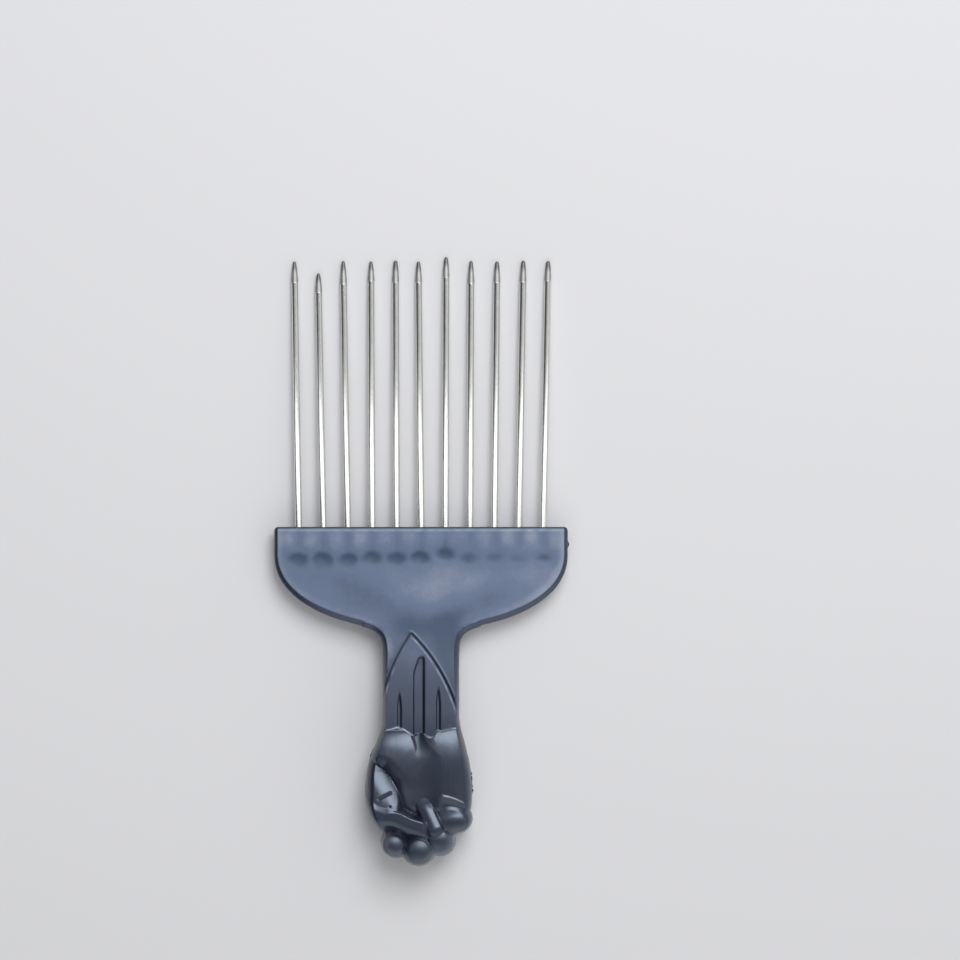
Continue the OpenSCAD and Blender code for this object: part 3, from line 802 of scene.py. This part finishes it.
def grid_faces(rows, columns):
    """Faces of the rows and of the fan below them, and the loop of points round their rim."""
    row_len = 2 * columns + 1
    ids = np.arange(rows * row_len).reshape(rows, row_len)
    hub = ids[-1, columns]
    fan = np.empty((RAYS + 1, columns + 1), int)
    fan[:, 0] = hub
    fan[0, 1:] = ids[-1, columns - 1::-1][:columns]
    fan[RAYS, 1:] = ids[-1, columns + 1:]
    fan[1:RAYS, 1:] = ids.size + np.arange((RAYS - 1) * columns).reshape(RAYS - 1, columns)
    quads = np.stack([ids[:-1, :-1], ids[:-1, 1:], ids[1:, 1:], ids[1:, :-1]], -1).reshape(-1, 4)
    fan_quads = np.stack([fan[:-1, 2:], fan[:-1, 1:-1], fan[1:, 1:-1], fan[1:, 2:]], -1).reshape(-1, 4)
    triangles = np.stack([fan[:-1, 1], np.full(RAYS, hub), fan[1:, 1]], -1)
    faces = [tuple(face) for group in (quads, fan_quads, triangles) for face in group]
    loop = np.concatenate([ids[0], ids[1:, -1], fan[1:RAYS, columns][::-1], ids[1:-1, 0][::-1]])
    return faces, loop


def flash_rings(s, edge):
    """The fine ridge of flash that the mould line leaves beside an edge, with its torn places."""
    x, y = edge[:, 0], edge[:, 1]
    along = np.gradient(edge[:, :2], axis=0)
    along /= np.maximum(np.linalg.norm(along, axis=1)[:, None], TINY)
    outward = np.column_stack([-along[:, 1], along[:, 0]])
    proud = s.flash_proud * (1 + 0.5 * waves(x, y, 3 * MM, 5))
    for tear_x, tear_drop, reach, width, ragged in FLASH_TEARS:
        near = np.exp(-((x - tear_x) ** 2 + (EDGE_Y - y - tear_drop) ** 2) / width ** 2)
        proud = proud + reach * near * (1 + ragged * waves(x, y, 0.5 * MM, 7))
    rings = []
    for height, share in FLASH_SECTION:
        plan = edge[:, :2] + outward * (proud * share)[:, None]
        rings.append(np.column_stack([plan, np.full(len(edge), s.fist_back + height)]))
    return rings


def split_loop(loop, columns):
    """A rim loop as its straight edge, and as the rest of it from corner to corner."""
    top = loop[:2 * sum(columns) + 1]
    return top, np.concatenate([top[-1:], loop[len(top):], top[:1]])


def top_wall(front, back, front_top, back_top, offset):
    """The upright wall of the straight edge, between rows of points that don't pair up."""
    faces = []
    i = j = 0
    while i < len(front_top) - 1 or j < len(back_top) - 1:
        next_front = front[front_top[i + 1]][0] if i < len(front_top) - 1 else FAR
        next_back = back[back_top[j + 1]][0] if j < len(back_top) - 1 else FAR
        if next_front <= next_back:
            faces.append((front_top[i], front_top[i + 1], back_top[j] + offset)[::-1])
            i += 1
        else:
            faces.append((front_top[i], back_top[j + 1] + offset, back_top[j] + offset)[::-1])
            j += 1
    return faces


def handle_mesh(shape):
    """The whole handle: a fine front, a plainer back, and the rim with its mould line between them."""
    s = shape.s
    drops = shape.row_drops()
    fx, fd, fgap, front_faces, front_loop = shape.grid(FRONT_COLUMNS, drops)
    bx, bd, bgap, back_faces, back_loop = shape.grid(BACK_COLUMNS, drops)
    front = np.column_stack([fx, EDGE_Y - fd, s.fist_back + shape.side_height(shape.front, fx, fd, fgap)])
    back = np.column_stack([bx, EDGE_Y - bd, s.fist_back - shape.side_height(shape.back, bx, bd, bgap)])
    offset = len(front)
    front_top, front_side = split_loop(front_loop, FRONT_COLUMNS)
    back_top, back_side = split_loop(back_loop, BACK_COLUMNS)
    faces = front_faces + [tuple(i + offset for i in reversed(face)) for face in back_faces]
    faces += top_wall(front, back, front_top, back_top, offset)

    rings = flash_rings(s, front[front_side])
    count = len(front_side)
    start = offset + len(back)
    between = start + np.arange(len(rings) * count).reshape(len(rings), count)
    ids = [front_side, *between, back_side + offset]
    for upper, lower in zip(ids[:-1], ids[1:]):
        faces += [(upper[i], lower[i], lower[i + 1], upper[i + 1]) for i in range(count - 1)]
    points = np.vstack([front, back, *rings])
    return points, faces, handle_marks(shape, points, (fx, fd, fgap), (bd, bgap))


def handle_marks(shape, points, front, back):
    """Marks for the material: distance in from the rim, the hand, painted shade, highlights and light."""
    x, drop, gap = front
    back_drop, back_gap = back
    others = points[len(x):]
    on_rim = np.zeros(len(others) - len(back_drop))
    shares = gap / lookup(drop, shape.bevels), back_gap / lookup(back_drop, shape.bevels)
    inner = np.concatenate([*shares, on_rim])
    past_lip = drop - shape.lip(x)
    past_wrist = EDGE_Y - others[:, 1] - shape.s.wrist_drop
    hand = np.concatenate([ramp(-0.3 * MM, 0.3 * MM, past_lip), ramp(-4 * MM, 4 * MM, past_wrist)])
    marks = {"inner": np.minimum(inner, RIM_REACH), "hand": hand}
    for name, of_front in (("shade", shape.shade), ("painted_edge_highlight", shape.painted_edge_highlight), ("painted_light_and_patches", shape.painted_light_and_patch_marks)):
        marks[name] = np.concatenate([of_front(x, drop), np.zeros(len(others))])
    return marks


def new_piece(name, points, faces, smooth_angle=40):
    """A softly shaded piece, sharp where its faces meet at more than the angle."""
    mesh = bpy.data.meshes.new(name)
    mesh.from_pydata(np.array(points).tolist(), [], faces)
    mesh.validate()
    mesh.shade_smooth()
    mesh.set_sharp_from_angle(angle=math.radians(smooth_angle))
    mesh.update()
    piece = bpy.data.objects.new(name, mesh)
    bpy.context.scene.collection.objects.link(piece)
    return piece


def mark_points(piece, name, values):
    """Keep a value for each point of a piece, for its material to read."""
    mark = piece.data.attributes.new(name, "FLOAT", "POINT")
    mark.data.foreach_set("value", values.astype(np.float32))


def packed_points(name):
    """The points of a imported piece, in the frame of the whole pick."""
    return np.array([v.co for v in frame["nodes"][name].data.vertices])


# The pins' shape

def pin_axis(name):
    """The two ends of a pin's axis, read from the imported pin."""
    points = packed_points(name)
    low, high = points[:, 1].min(), points[:, 1].max()
    near = 0.2 * MM
    seat = points[points[:, 1] < low + near].mean(0)
    tip = points[points[:, 1] > high - near].mean(0)
    return Vector((seat[0], low, seat[2])), Vector((tip[0], high, tip[2]))


def pin_profile(s, reach, end_r, point):
    """A pin's outline as distance along it from the head's edge and radius."""
    r = s.pin_d / 2
    lock, width = s.pin_d * LOCK_DEPTH, s.pin_d * LOCK_WIDTH
    profile = [(-s.pin_seat, 0), (-s.pin_seat, r - lock), (lock - s.pin_seat, r)]
    for share in LOCK_PLACES:
        at = -s.pin_seat * share
        profile += [(at - width, r), (at - width / 2, r - lock), (at, r - lock), (at + width / 2, r)]
    start, end = reach - point, reach - end_r
    profile += [(y, r) for y in np.linspace(-0.3 * MM, start - 0.15 * MM, WIRE_RINGS)]
    profile.append((start, r))
    for t in np.linspace(0, 1, POINT_RINGS)[1:]:
        swell = 1 - (1 - end_r / r) * (0.25 * t + 0.75 * t * t)
        profile.append((mix(start, end, t), r * swell))
    for angle in np.linspace(0, math.pi / 2, END_RINGS)[1:]:
        profile.append((end + end_r * math.sin(angle), end_r * math.cos(angle)))
    return profile


def lathe(profile, segments):
    """Points and faces of a profile turned about the Y axis."""
    points, faces, rings = [], [], []
    turn = [2 * math.pi * k / segments for k in range(segments)]
    for y, r in profile:
        angles = turn if r > TINY else turn[:1]
        rings.append(range(len(points), len(points) + len(angles)))
        points += [(r * math.cos(a), y, r * math.sin(a)) for a in angles]
    for a, b in zip(rings[:-1], rings[1:]):
        for k in range(segments):
            n = (k + 1) % segments
            if len(a) == 1:
                faces.append((a[0], b[k], b[n]))
            elif len(b) == 1:
                faces.append((a[n], a[k], b[0]))
            else:
                faces.append((a[k], b[k], b[n], a[n]))
    return np.array(points), faces


# Materials

class Signal:
    """One output of a node. Sums and products written with it add Math nodes."""

    def __init__(self, finish, socket):
        self.finish, self.socket = finish, socket

    def maths(self, operation, first, second):
        """A Math node on two values, either of them a number."""
        return self.finish.node("ShaderNodeMath", {"operation": operation}, {0: first, 1: second})

    def __add__(self, other):
        return self.maths("ADD", self, other)

    def __sub__(self, other):
        return self.maths("SUBTRACT", self, other)

    def __rsub__(self, other):
        return self.maths("SUBTRACT", other, self)

    def __mul__(self, other):
        return self.maths("MULTIPLY", self, other)

    __radd__ = __add__
    __rmul__ = __mul__


class Finish:
    """The nodes of one material or of the world."""

    def __init__(self, owner):
        owner.use_nodes = True
        self.tree = owner.node_tree
        self.tree.nodes.clear()

    def node(self, kind, settings=None, sockets=None, out=0):
        """A new node: its settings are set first, then its sockets. Gives one of its outputs."""
        made = self.tree.nodes.new(kind)
        for name, value in (settings or {}).items():
            setattr(made, name, value)
        for key, value in (sockets or {}).items():
            socket = made.inputs[key]
            if isinstance(value, Signal):
                self.tree.links.new(value.socket, socket)
            elif socket.type == "RGBA":
                socket.default_value = (*value, 1.0)
            else:
                socket.default_value = value
        return Signal(self, made.outputs[out]) if len(made.outputs) else None

    def place(self):
        """The place on the piece, in the frame of the whole pick."""
        return self.node("ShaderNodeTexCoord", out="Object")

    def parts(self, vector):
        """The x, y and z of a vector."""
        made = self.node("ShaderNodeSeparateXYZ", sockets={0: vector}).socket.node
        return [Signal(self, made.outputs[i]) for i in range(3)]

    def ramp(self, value, low, high, to_low=0.0, to_high=1.0):
        """From to_low to to_high, softly, as the value goes from low to high."""
        return self.node("ShaderNodeMapRange", {"interpolation_type": "SMOOTHSTEP"}, {
            "Value": value, "From Min": low, "From Max": high, "To Min": to_low, "To Max": to_high})

    def down(self, y, drops):
        """From 0 at the first drop to 1 at the second, softly."""
        return self.ramp(y, EDGE_Y - drops[0], EDGE_Y - drops[1])

    def blend(self, share, a, b):
        """The colour a where the share is 0, and b where it is 1."""
        return self.node("ShaderNodeMix", {"data_type": "RGBA"}, {0: share, 6: a, 7: b}, out=2)

    def attribute(self, name):
        """A value that mark_points kept on the piece."""
        return self.node("ShaderNodeAttribute", {"attribute_name": name}, out="Fac")

    def noise(self, place, size, detail, rough):
        """Noise whose features are about size across, in metres."""
        return self.node("ShaderNodeTexNoise", {}, {
            "Vector": place, "Scale": 1 / size, "Detail": detail, "Roughness": rough})

    def stretched(self, place, stretch):
        """A place with scaled axes: noise is drawn out along a small one."""
        return self.node("ShaderNodeVectorMath", {"operation": "MULTIPLY"}, {0: place, 1: stretch})

    def bump(self, height, distance, onto=None):
        """The normal of a surface that the height raises."""
        sockets = {"Height": height, "Distance": distance}
        if onto is not None:
            sockets["Normal"] = onto
        return self.node("ShaderNodeBump", {}, sockets)

    def surface(self, sockets):
        """Ends a material in its one shader."""
        shader = self.node("ShaderNodeBsdfPrincipled", {}, sockets)
        self.node("ShaderNodeOutputMaterial", {}, {"Surface": shader})


# Colours painted into the plastic: darker for painted shade and dark patches, paler for painted light
# and pale patches, painted shade in a groove, a painted floor reflection on the knuckles, and the
# cool tint of its shine.
PAINTED_SHADE_AND_DARK_PATCH = (0.014, 0.026, 0.06)
PAINTED_LIGHT_AND_PALE_PATCH = (0.5, 0.52, 0.56)
PAINTED_GROOVE_SHADE = (0.004, 0.006, 0.014)
PAINTED_FLOOR_REFLECTION = (0.09, 0.096, 0.115)
COOL_SHEEN = (0.71, 0.84, 1.0)


# Between which drops the head's finish and its painted sheen give way to the arm's, where the far
# knuckles take a painted floor reflection, and where they are duller.
ARM_FINISH = (18 * MM, 52 * MM)
PAINTED_REFLECTION_DROPS, DULLER_DROPS = (83 * MM, 90 * MM), (86 * MM, 90 * MM)


def plastic_material(s):
    """Dark plastic with painted light in its colour, satin on the head and polished on the fist and round
    the rim.
    """
    material = bpy.data.materials.new("plastic_with_painted_light")
    f = Finish(material)
    place = f.place()
    y = f.parts(place)[1]
    inner, hand = f.attribute("inner"), f.attribute("hand")
    shade, painted_edge_highlight = f.attribute("shade"), f.attribute("painted_edge_highlight")
    face = f.ramp(inner, 0.88, 1.0)
    near_rim = f.ramp(inner, RIM_REACH, 1.0)
    arm = f.down(y, ARM_FINISH)
    mottle = f.noise(place, 9 * MM, 4.0, 0.6)
    speckle = f.noise(place, 0.9 * MM, 2.0, 0.6)

    # Colour: the head's painted sheen fading to the arm, the fist, painted shade and light with patches,
    # painted shade in grooves, painted edge highlights, the plain rim and a painted floor reflection.
    # Painted shade in the sink marks and over the pins, painted light on the swells, patches, and a paler
    # band just inside the head's rim.
    painted_light_and_patches = f.attribute("painted_light_and_patches") * 1.3 + near_rim * (1 - arm) * 0.5
    painted_light_and_patches = painted_light_and_patches + (mottle - 0.5) * 0.8 + (speckle - 0.5) * 0.3
    darker, paler = f.ramp(painted_light_and_patches, 0.0, -1.0), f.ramp(painted_light_and_patches, 0.0, 1.0)
    # The head's lighter colour is painted sheen, and it fades into the arm's colour down the arm.
    colour = f.blend(arm, s.head_painted_sheen_colour, s.arm_colour)
    colour = f.blend(hand, colour, s.fist_colour)
    colour = f.blend(darker, colour, f.blend(0.82, colour, PAINTED_SHADE_AND_DARK_PATCH))
    colour = f.blend(paler, colour, f.blend(0.3, colour, PAINTED_LIGHT_AND_PALE_PATCH))
    # Painted shade in the grooves, the valley, the thumb's crease and along the straight edge.
    colour = f.blend(shade, colour, f.blend(0.85, colour, PAINTED_GROOVE_SHADE))
    # Painted highlights along fine edges.
    colour = f.blend(painted_edge_highlight, colour, s.edge_highlight_colour)
    colour = f.blend(face, f.blend(hand, s.rim_colour, s.fist_colour), colour)
    # A painted floor reflection on the lower sides of the far knuckles.
    painted_floor_reflection = hand * f.ramp(inner, RIM_REACH, 1.2) * f.down(y, PAINTED_REFLECTION_DROPS)
    colour = f.blend(painted_floor_reflection * 0.6, colour, PAINTED_FLOOR_REFLECTION)

    # Roughness: from the satin head to the polished fist and rim, uneven with smears of handling.
    smears = f.noise(f.stretched(place, (1.0, 0.35, 1.0)), 3 * MM, 4.0, 0.6)
    knuckles = f.down(y, DULLER_DROPS)
    rough = f.ramp(hand + arm * 0.9, 0.0, 1.9, s.head_roughness, s.fist_roughness)
    rough = rough - darker * 0.14 + knuckles * 0.09
    rough = f.ramp(face, 0.0, 1.0, s.fist_roughness, rough) + (smears - 0.5) * 0.12 + shade * hand * 0.4

    # Bump: the moulding's long waves, and a fine grain that is weaker on the fist.
    grain = f.noise(place, 0.35 * MM, 2.0, 0.5) * (1 - hand * 0.8)
    normal = f.bump(f.noise(place, 6 * MM, 2.0, 0.4), 0.04 * MM)
    normal = f.bump(grain, 0.01 * MM, normal)
    f.surface({
        "Base Color": colour, "Roughness": rough, "IOR": 1.6, "Specular IOR Level": 0.55,
        "Specular Tint": COOL_SHEEN, "Normal": normal})
    return material


def steel_material(s):
    """Nickel-plated wire with a dull ground point."""
    material = bpy.data.materials.new("nickel_wire")
    f = Finish(material)
    place = f.place()
    drawn = f.noise(f.stretched(place, (1.0, 0.02, 1.0)), 0.12 * MM, 3.0, 0.6)
    stain = f.noise(f.stretched(place, (1.0, 0.3, 1.0)), 4 * MM, 3.0, 0.6)
    ground = f.attribute("ground")
    rings = f.noise(f.stretched(place, (0.3, 1.0, 0.3)), 0.16 * MM, 2.0, 0.6)
    colour = f.blend(stain, s.nickel_colour, s.nickel_stain)
    colour = f.blend(ground * (0.75 + 0.25 * rings), colour, s.ground_colour)
    rough = s.nickel_roughness + (drawn - 0.5) * 0.08 + f.ramp(ground, 0.0, 0.5) * s.ground_roughness
    normal = f.bump(drawn, 0.004 * MM)
    normal = f.bump(rings * ground, 0.02 * MM, normal)
    f.surface({"Base Color": colour, "Metallic": 1.0, "Roughness": rough, "Normal": normal})
    return material


def floor_material(s):
    """A plain pale floor."""
    material = bpy.data.materials.new("pale_floor")
    Finish(material).surface({"Base Color": s.floor_colour, "Roughness": 0.9, "Specular IOR Level": 0.2})
    return material


# The sizes and colours that a user would change

def length(name, description, value):
    """A length that a user can change."""
    return bpy.props.FloatProperty(
        name=name, description=description, default=value, unit="LENGTH", precision=5)


def share(name, description, value):
    """A share that a user can change."""
    return bpy.props.FloatProperty(
        name=name, description=description, default=value, subtype="FACTOR", min=0, max=1)


def colour(name, description, value):
    """A colour that a user can change."""
    return bpy.props.FloatVectorProperty(
        name=name, description=description, default=value, subtype="COLOR", size=3, min=0, max=1)


class PickHandleSettings(bpy.types.PropertyGroup):
    """Sizes and finish of the moulded handle"""
    head_w: length("Head width", "Width of the head across all the pins", HANDLE_HIGH.x - HANDLE_LOW.x)
    head_t: length("Head thickness", "Thickness of the head at its straight edge", 5 * MM)
    head_drop: length("Shoulder drop", "Drop from the straight edge to the shoulders' lower end", 30 * MM)
    side_drop: length("Side drop", "Depth where the sides begin to curve in", 8 * MM)
    corner_r: length("Corner radius", "Radius of the corners of the straight edge", 1.2 * MM)
    pin_margin: length("Pin margin", "Distance from the side of the head to the first pin", 7 * MM)
    pin_seat: length("Pin seat", "Length of a pin inside the head", 9 * MM)
    arm_w: length("Arm width", "Width of the arm below the shoulders", 22 * MM)
    wrist_drop: length("Wrist drop", "Distance from the straight edge to the wrist", 58 * MM)
    arm_front: length("Arm front", "Height of the arm above the mould line at the wrist", 5.8 * MM)
    arm_back: length("Arm back", "Height of the arm below the mould line at the wrist", 5.4 * MM)
    channel_w: length("Channel width", "Width of the middle groove of the arm", 2.9 * MM)
    channel_depth: length("Channel depth", "Depth of the straight grooves of the arm", 0.7 * MM)
    side_channel_w: length("Side channel width", "Width of the two side grooves of the arm", 1.0 * MM)
    wall_w: length("Groove wall width", "Width in plan of a groove's slanted wall", 0.45 * MM)
    frame_w: length("Frame width", "Width of the groove that frames the arm in a point", 1.5 * MM)
    frame_depth: length("Frame depth", "Depth of the groove that frames the arm in a point", 0.5 * MM)
    lip_w: length("Lip width", "Width in plan of the step up to the heel of the hand", 0.5 * MM)
    fist_len: length("Fist length", "Length of the fist from the wrist to the far knuckle", 40.2 * MM)
    thumb_side: length("Thumb side", "Width of the fist from its middle to the thumb side", 16.2 * MM)
    finger_side: length("Finger side", "Width of the fist from its middle to the finger side", 14.8 * MM)
    fist_front: length("Palm height", "Height of the palm side above the mould line", 10.4 * MM)
    fist_back: length("Hand back height", "Depth of the back of the hand below the mould line", 8.6 * MM)
    rib_height: length("Rib height", "Height of the low swells between the pins", 0.16 * MM)
    sink_depth: length("Sink depth", "Depth of the sink mark below each pin's seat", 0.2 * MM)
    flash_proud: length("Flash", "How far the mould line stands out", 0.05 * MM)
    # The head's colour holds a painted sheen over the dark plastic.
    head_painted_sheen_colour: colour("Head colour", "Colour of the head with its painted sheen", (0.083, 0.109, 0.18))
    arm_colour: colour("Arm colour", "Colour of the plastic at the wrist", (0.005, 0.007, 0.023))
    fist_colour: colour("Fist colour", "Colour of the plastic on the fist", (0.012, 0.014, 0.027))
    # The colour of the painted highlights along fine edges.
    edge_highlight_colour: colour("Edge highlight colour", "Colour of the painted highlights along fine edges", (0.4, 0.44, 0.53))
    rim_colour: colour("Rim colour", "Colour of the polished rim of head and arm", (0.02, 0.026, 0.044))
    head_roughness: share("Head roughness", "Roughness of the satin head", 0.46)
    fist_roughness: share("Fist roughness", "Roughness of the polished fist", 0.27)


class PickPinSettings(bpy.types.PropertyGroup):
    """Sizes and finish of the pins"""
    pin_d: length("Pin diameter", "Diameter of a pin", 2 * MM)
    pin_seat: length("Pin seat", "Length of a pin inside the head", 9 * MM)
    pin_point: length("Point length", "Length of the ground point", 6.5 * MM)
    nickel_colour: colour("Nickel", "Colour of the plating", (0.8, 0.8, 0.79))
    nickel_stain: colour("Nickel stain", "Colour of the plating where it has dulled", (0.66, 0.66, 0.63))
    ground_colour: colour("Ground steel", "Colour of the ground point", (0.1, 0.1, 0.098))
    nickel_roughness: share("Nickel roughness", "Roughness of the plated wire", 0.1)
    ground_roughness: share("Ground roughness", "Roughness that grinding adds at the point", 0.48)


class PickStageSettings(bpy.types.PropertyGroup):
    """Floor, lamps and camera"""
    floor_colour: colour("Floor colour", "Colour of the floor", (0.595, 0.59, 0.6))
    camera_height: length("Camera height", "Height of the camera over the pins", 1200 * MM)
    view_width: length("View width", "Width of the picture at the pins", 278.4 * MM)
    camera_x: length("Camera x", "Place of the camera across the pins", 17.11 * MM)
    camera_y: length("Camera y", "Place of the camera along the pins", 23.61 * MM)


class PICK_OT_handle(bpy.types.Operator):
    """Builds the moulded handle, with its fist, grooves, sink marks and mould line"""
    bl_idname = "pick.handle"
    bl_label = "Moulded handle"

    def execute(self, context):
        s = context.scene.pick_handle
        points, faces, marks = handle_mesh(HandleShape(s))
        piece = new_piece("handle_moulding", points, faces)
        for name, values in marks.items():
            mark_points(piece, name, values)
        piece.data.materials.append(plastic_material(s))
        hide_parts("handle")
        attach(piece, BODY)
        return {"FINISHED"}


class PICK_OT_pins(bpy.types.Operator):
    """Builds the steel pins, each with its own ground point"""
    bl_idname = "pick.pins"
    bl_label = "Steel pins"

    def execute(self, context):
        s = context.scene.pick_pins
        steel = steel_material(s)
        draw = np.random.default_rng(11)
        for name in PIN_NODES:
            self.build(name, s, steel, draw)
        return {"FINISHED"}

    def build(self, name, s, steel, draw):
        """One pin, with its own rounded end and its own length of point."""
        seat, tip = pin_axis(name)
        along = (tip - seat).normalized()
        reach = (tip - seat).length - s.pin_seat
        end_r = s.pin_d / 2 * draw.uniform(*END_SHARES)
        point = s.pin_point * draw.uniform(*POINT_SHARES)
        points, faces = lathe(pin_profile(s, reach, end_r, point), PIN_SIDES)
        before_tip = reach - points[:, 1]
        ground = ramp(point + 0.1 * MM, point - 0.5 * MM, before_tip)
        ground = ground * mix(0.6, 1, ramp(0.6 * point, 0.2 * point, before_tip))
        across = along.cross(Vector((0, 0, 1))).normalized()
        turn = np.array([across, along, across.cross(along)])
        edge = np.array(seat + along * s.pin_seat)
        piece = new_piece(name.replace("pin", "wire"), points @ turn + edge, faces, smooth_angle=50)
        mark_points(piece, "ground", ground)
        piece.data.materials.append(steel)
        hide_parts(name)
        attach(piece, BODY)


# Each lamp's name, place, aim, size and power.
LAMPS = [
    ("strip", (0.0, 0.031, 0.95), (0.0, 0.031, 0.0), (3.0, 0.062), 1.1),
    ("key", (0.2, 0.52, 0.95), (0.0, -0.03, 0.0), (0.55, 0.66), 9.4),
]
LAMP_COLOUR = (0.97, 0.985, 1.0)
# The studio's light from each side, and what the camera sees behind the floor.
LOW_LIGHT, HIGH_LIGHT = (0.16, 0.162, 0.17), (0.42, 0.422, 0.44)
RIGHT_LIGHT, NEAR_LIGHT = (0.66, 0.66, 0.64), (1.3, 1.32, 1.35)
LEFT_SHADE = (0.07, 0.072, 0.075)
BACKDROP = (0.72, 0.715, 0.735)
FLOOR_HALF = 4.0


class PICK_OT_stage(bpy.types.Operator):
    """Sets up the floor, the soft lamps, the world and the camera"""
    bl_idname = "pick.stage"
    bl_label = "Stage"

    def execute(self, context):
        s = context.scene.pick_stage
        self.floor(s)
        self.lamps()
        self.world(context.scene)
        self.camera(context.scene, s)
        context.scene.view_settings.view_transform = "Standard"
        return {"FINISHED"}

    def floor(self, s):
        """A plane that the hand's back and the pins both rest on, found by turns from either end."""
        hand = packed_points("handle")
        hand = hand[hand[:, 1] < mix(EDGE_Y, HANDLE_LOW.y, 0.1)]
        pins = np.vstack([packed_points(name) for name in PIN_NODES])
        foot = pins[pins[:, 1].argmax()]
        for _ in range(4):
            slope = ((foot[2] - hand[:, 2]) / (foot[1] - hand[:, 1])).max()
            foot = pins[(pins[:, 2] - slope * pins[:, 1]).argmin()]
        hand_y = foot[1] - foot[2] / slope
        corners = [(-1, -1), (1, -1), (1, 1), (-1, 1)]
        points = [(x * FLOOR_HALF, y * FLOOR_HALF, (y * FLOOR_HALF - hand_y) * slope) for x, y in corners]
        floor = new_piece("floor", points, [(0, 1, 2, 3)])
        floor.data.materials.append(floor_material(s))

    def lamps(self):
        """Soft lamps that light the pick and don't show in the picture."""
        for name, place, aim, size, power in LAMPS:
            lamp = bpy.data.lights.new(name, "AREA")
            lamp.shape = "RECTANGLE"
            lamp.size, lamp.size_y = size
            lamp.energy = power
            lamp.color = LAMP_COLOUR
            thing = bpy.data.objects.new(name, lamp)
            thing.location = place
            thing.rotation_euler = (Vector(aim) - Vector(place)).to_track_quat("-Z", "Y").to_euler()
            thing.visible_camera = False
            bpy.context.scene.collection.objects.link(thing)

    def world(self, scene):
        """A soft studio: pale above, to the right and near the viewer, and dark to the left."""
        world = bpy.data.worlds.new("studio")
        scene.world = world
        f = Finish(world)
        x, y, z = f.parts(f.node("ShaderNodeTexCoord", out="Generated"))
        colour = f.blend(f.ramp(z, 0.0, 0.6), LOW_LIGHT, HIGH_LIGHT)
        colour = f.blend(f.ramp(x, 0.1, 0.5), colour, RIGHT_LIGHT)
        colour = f.blend(f.ramp(y, -0.3, -0.7), colour, NEAR_LIGHT)
        colour = f.blend(f.ramp(x, -0.3, -0.62), colour, LEFT_SHADE)
        sight = f.node("ShaderNodeLightPath", out="Is Camera Ray")
        colour = f.blend(sight, colour, BACKDROP)
        background = f.node("ShaderNodeBackground", {}, {"Color": colour, "Strength": 1.0})
        f.node("ShaderNodeOutputWorld", {}, {"Surface": background})

    def camera(self, scene, s):
        """A camera straight above the pick, as wide as the view at the pins."""
        data = bpy.data.cameras.new("camera")
        data.sensor_width = 36
        data.lens = data.sensor_width * s.camera_height / s.view_width
        data.clip_start, data.clip_end = 10 * MM, 20
        camera = bpy.data.objects.new("camera", data)
        camera.location = (s.camera_x, s.camera_y, scene.pick_handle.fist_back + s.camera_height)
        scene.collection.objects.link(camera)
        scene.camera = camera


class PICK_PT_panel(bpy.types.Panel):
    """Lists the pick's pieces and its stage"""
    bl_idname = "PICK_PT_panel"
    bl_label = "Afro pick"
    bl_space_type = "VIEW_3D"
    bl_region_type = "UI"
    bl_category = "Pick"

    def draw(self, context):
        scene = context.scene
        groups = (scene.pick_handle, scene.pick_pins, scene.pick_stage)
        for group, operator in zip(groups, (PICK_OT_handle, PICK_OT_pins, PICK_OT_stage)):
            box = self.layout.box()
            for name in group.bl_rna.properties.keys():
                if name not in ("rna_type", "name"):
                    box.prop(group, name)
            box.operator(operator.bl_idname)


CLASSES = (
    PickHandleSettings, PickPinSettings, PickStageSettings,
    PICK_OT_handle, PICK_OT_pins, PICK_OT_stage, PICK_PT_panel,
)


def register():
    for item in CLASSES:
        bpy.utils.register_class(item)
    bpy.types.Scene.pick_handle = bpy.props.PointerProperty(type=PickHandleSettings)
    bpy.types.Scene.pick_pins = bpy.props.PointerProperty(type=PickPinSettings)
    bpy.types.Scene.pick_stage = bpy.props.PointerProperty(type=PickStageSettings)


def unregister():
    del bpy.types.Scene.pick_stage
    del bpy.types.Scene.pick_pins
    del bpy.types.Scene.pick_handle
    for item in reversed(CLASSES):
        bpy.utils.unregister_class(item)


def main():
    register()
    bpy.ops.pick.handle()
    bpy.ops.pick.pins()
    bpy.ops.pick.stage()


if __name__ == "__main__":
    main()
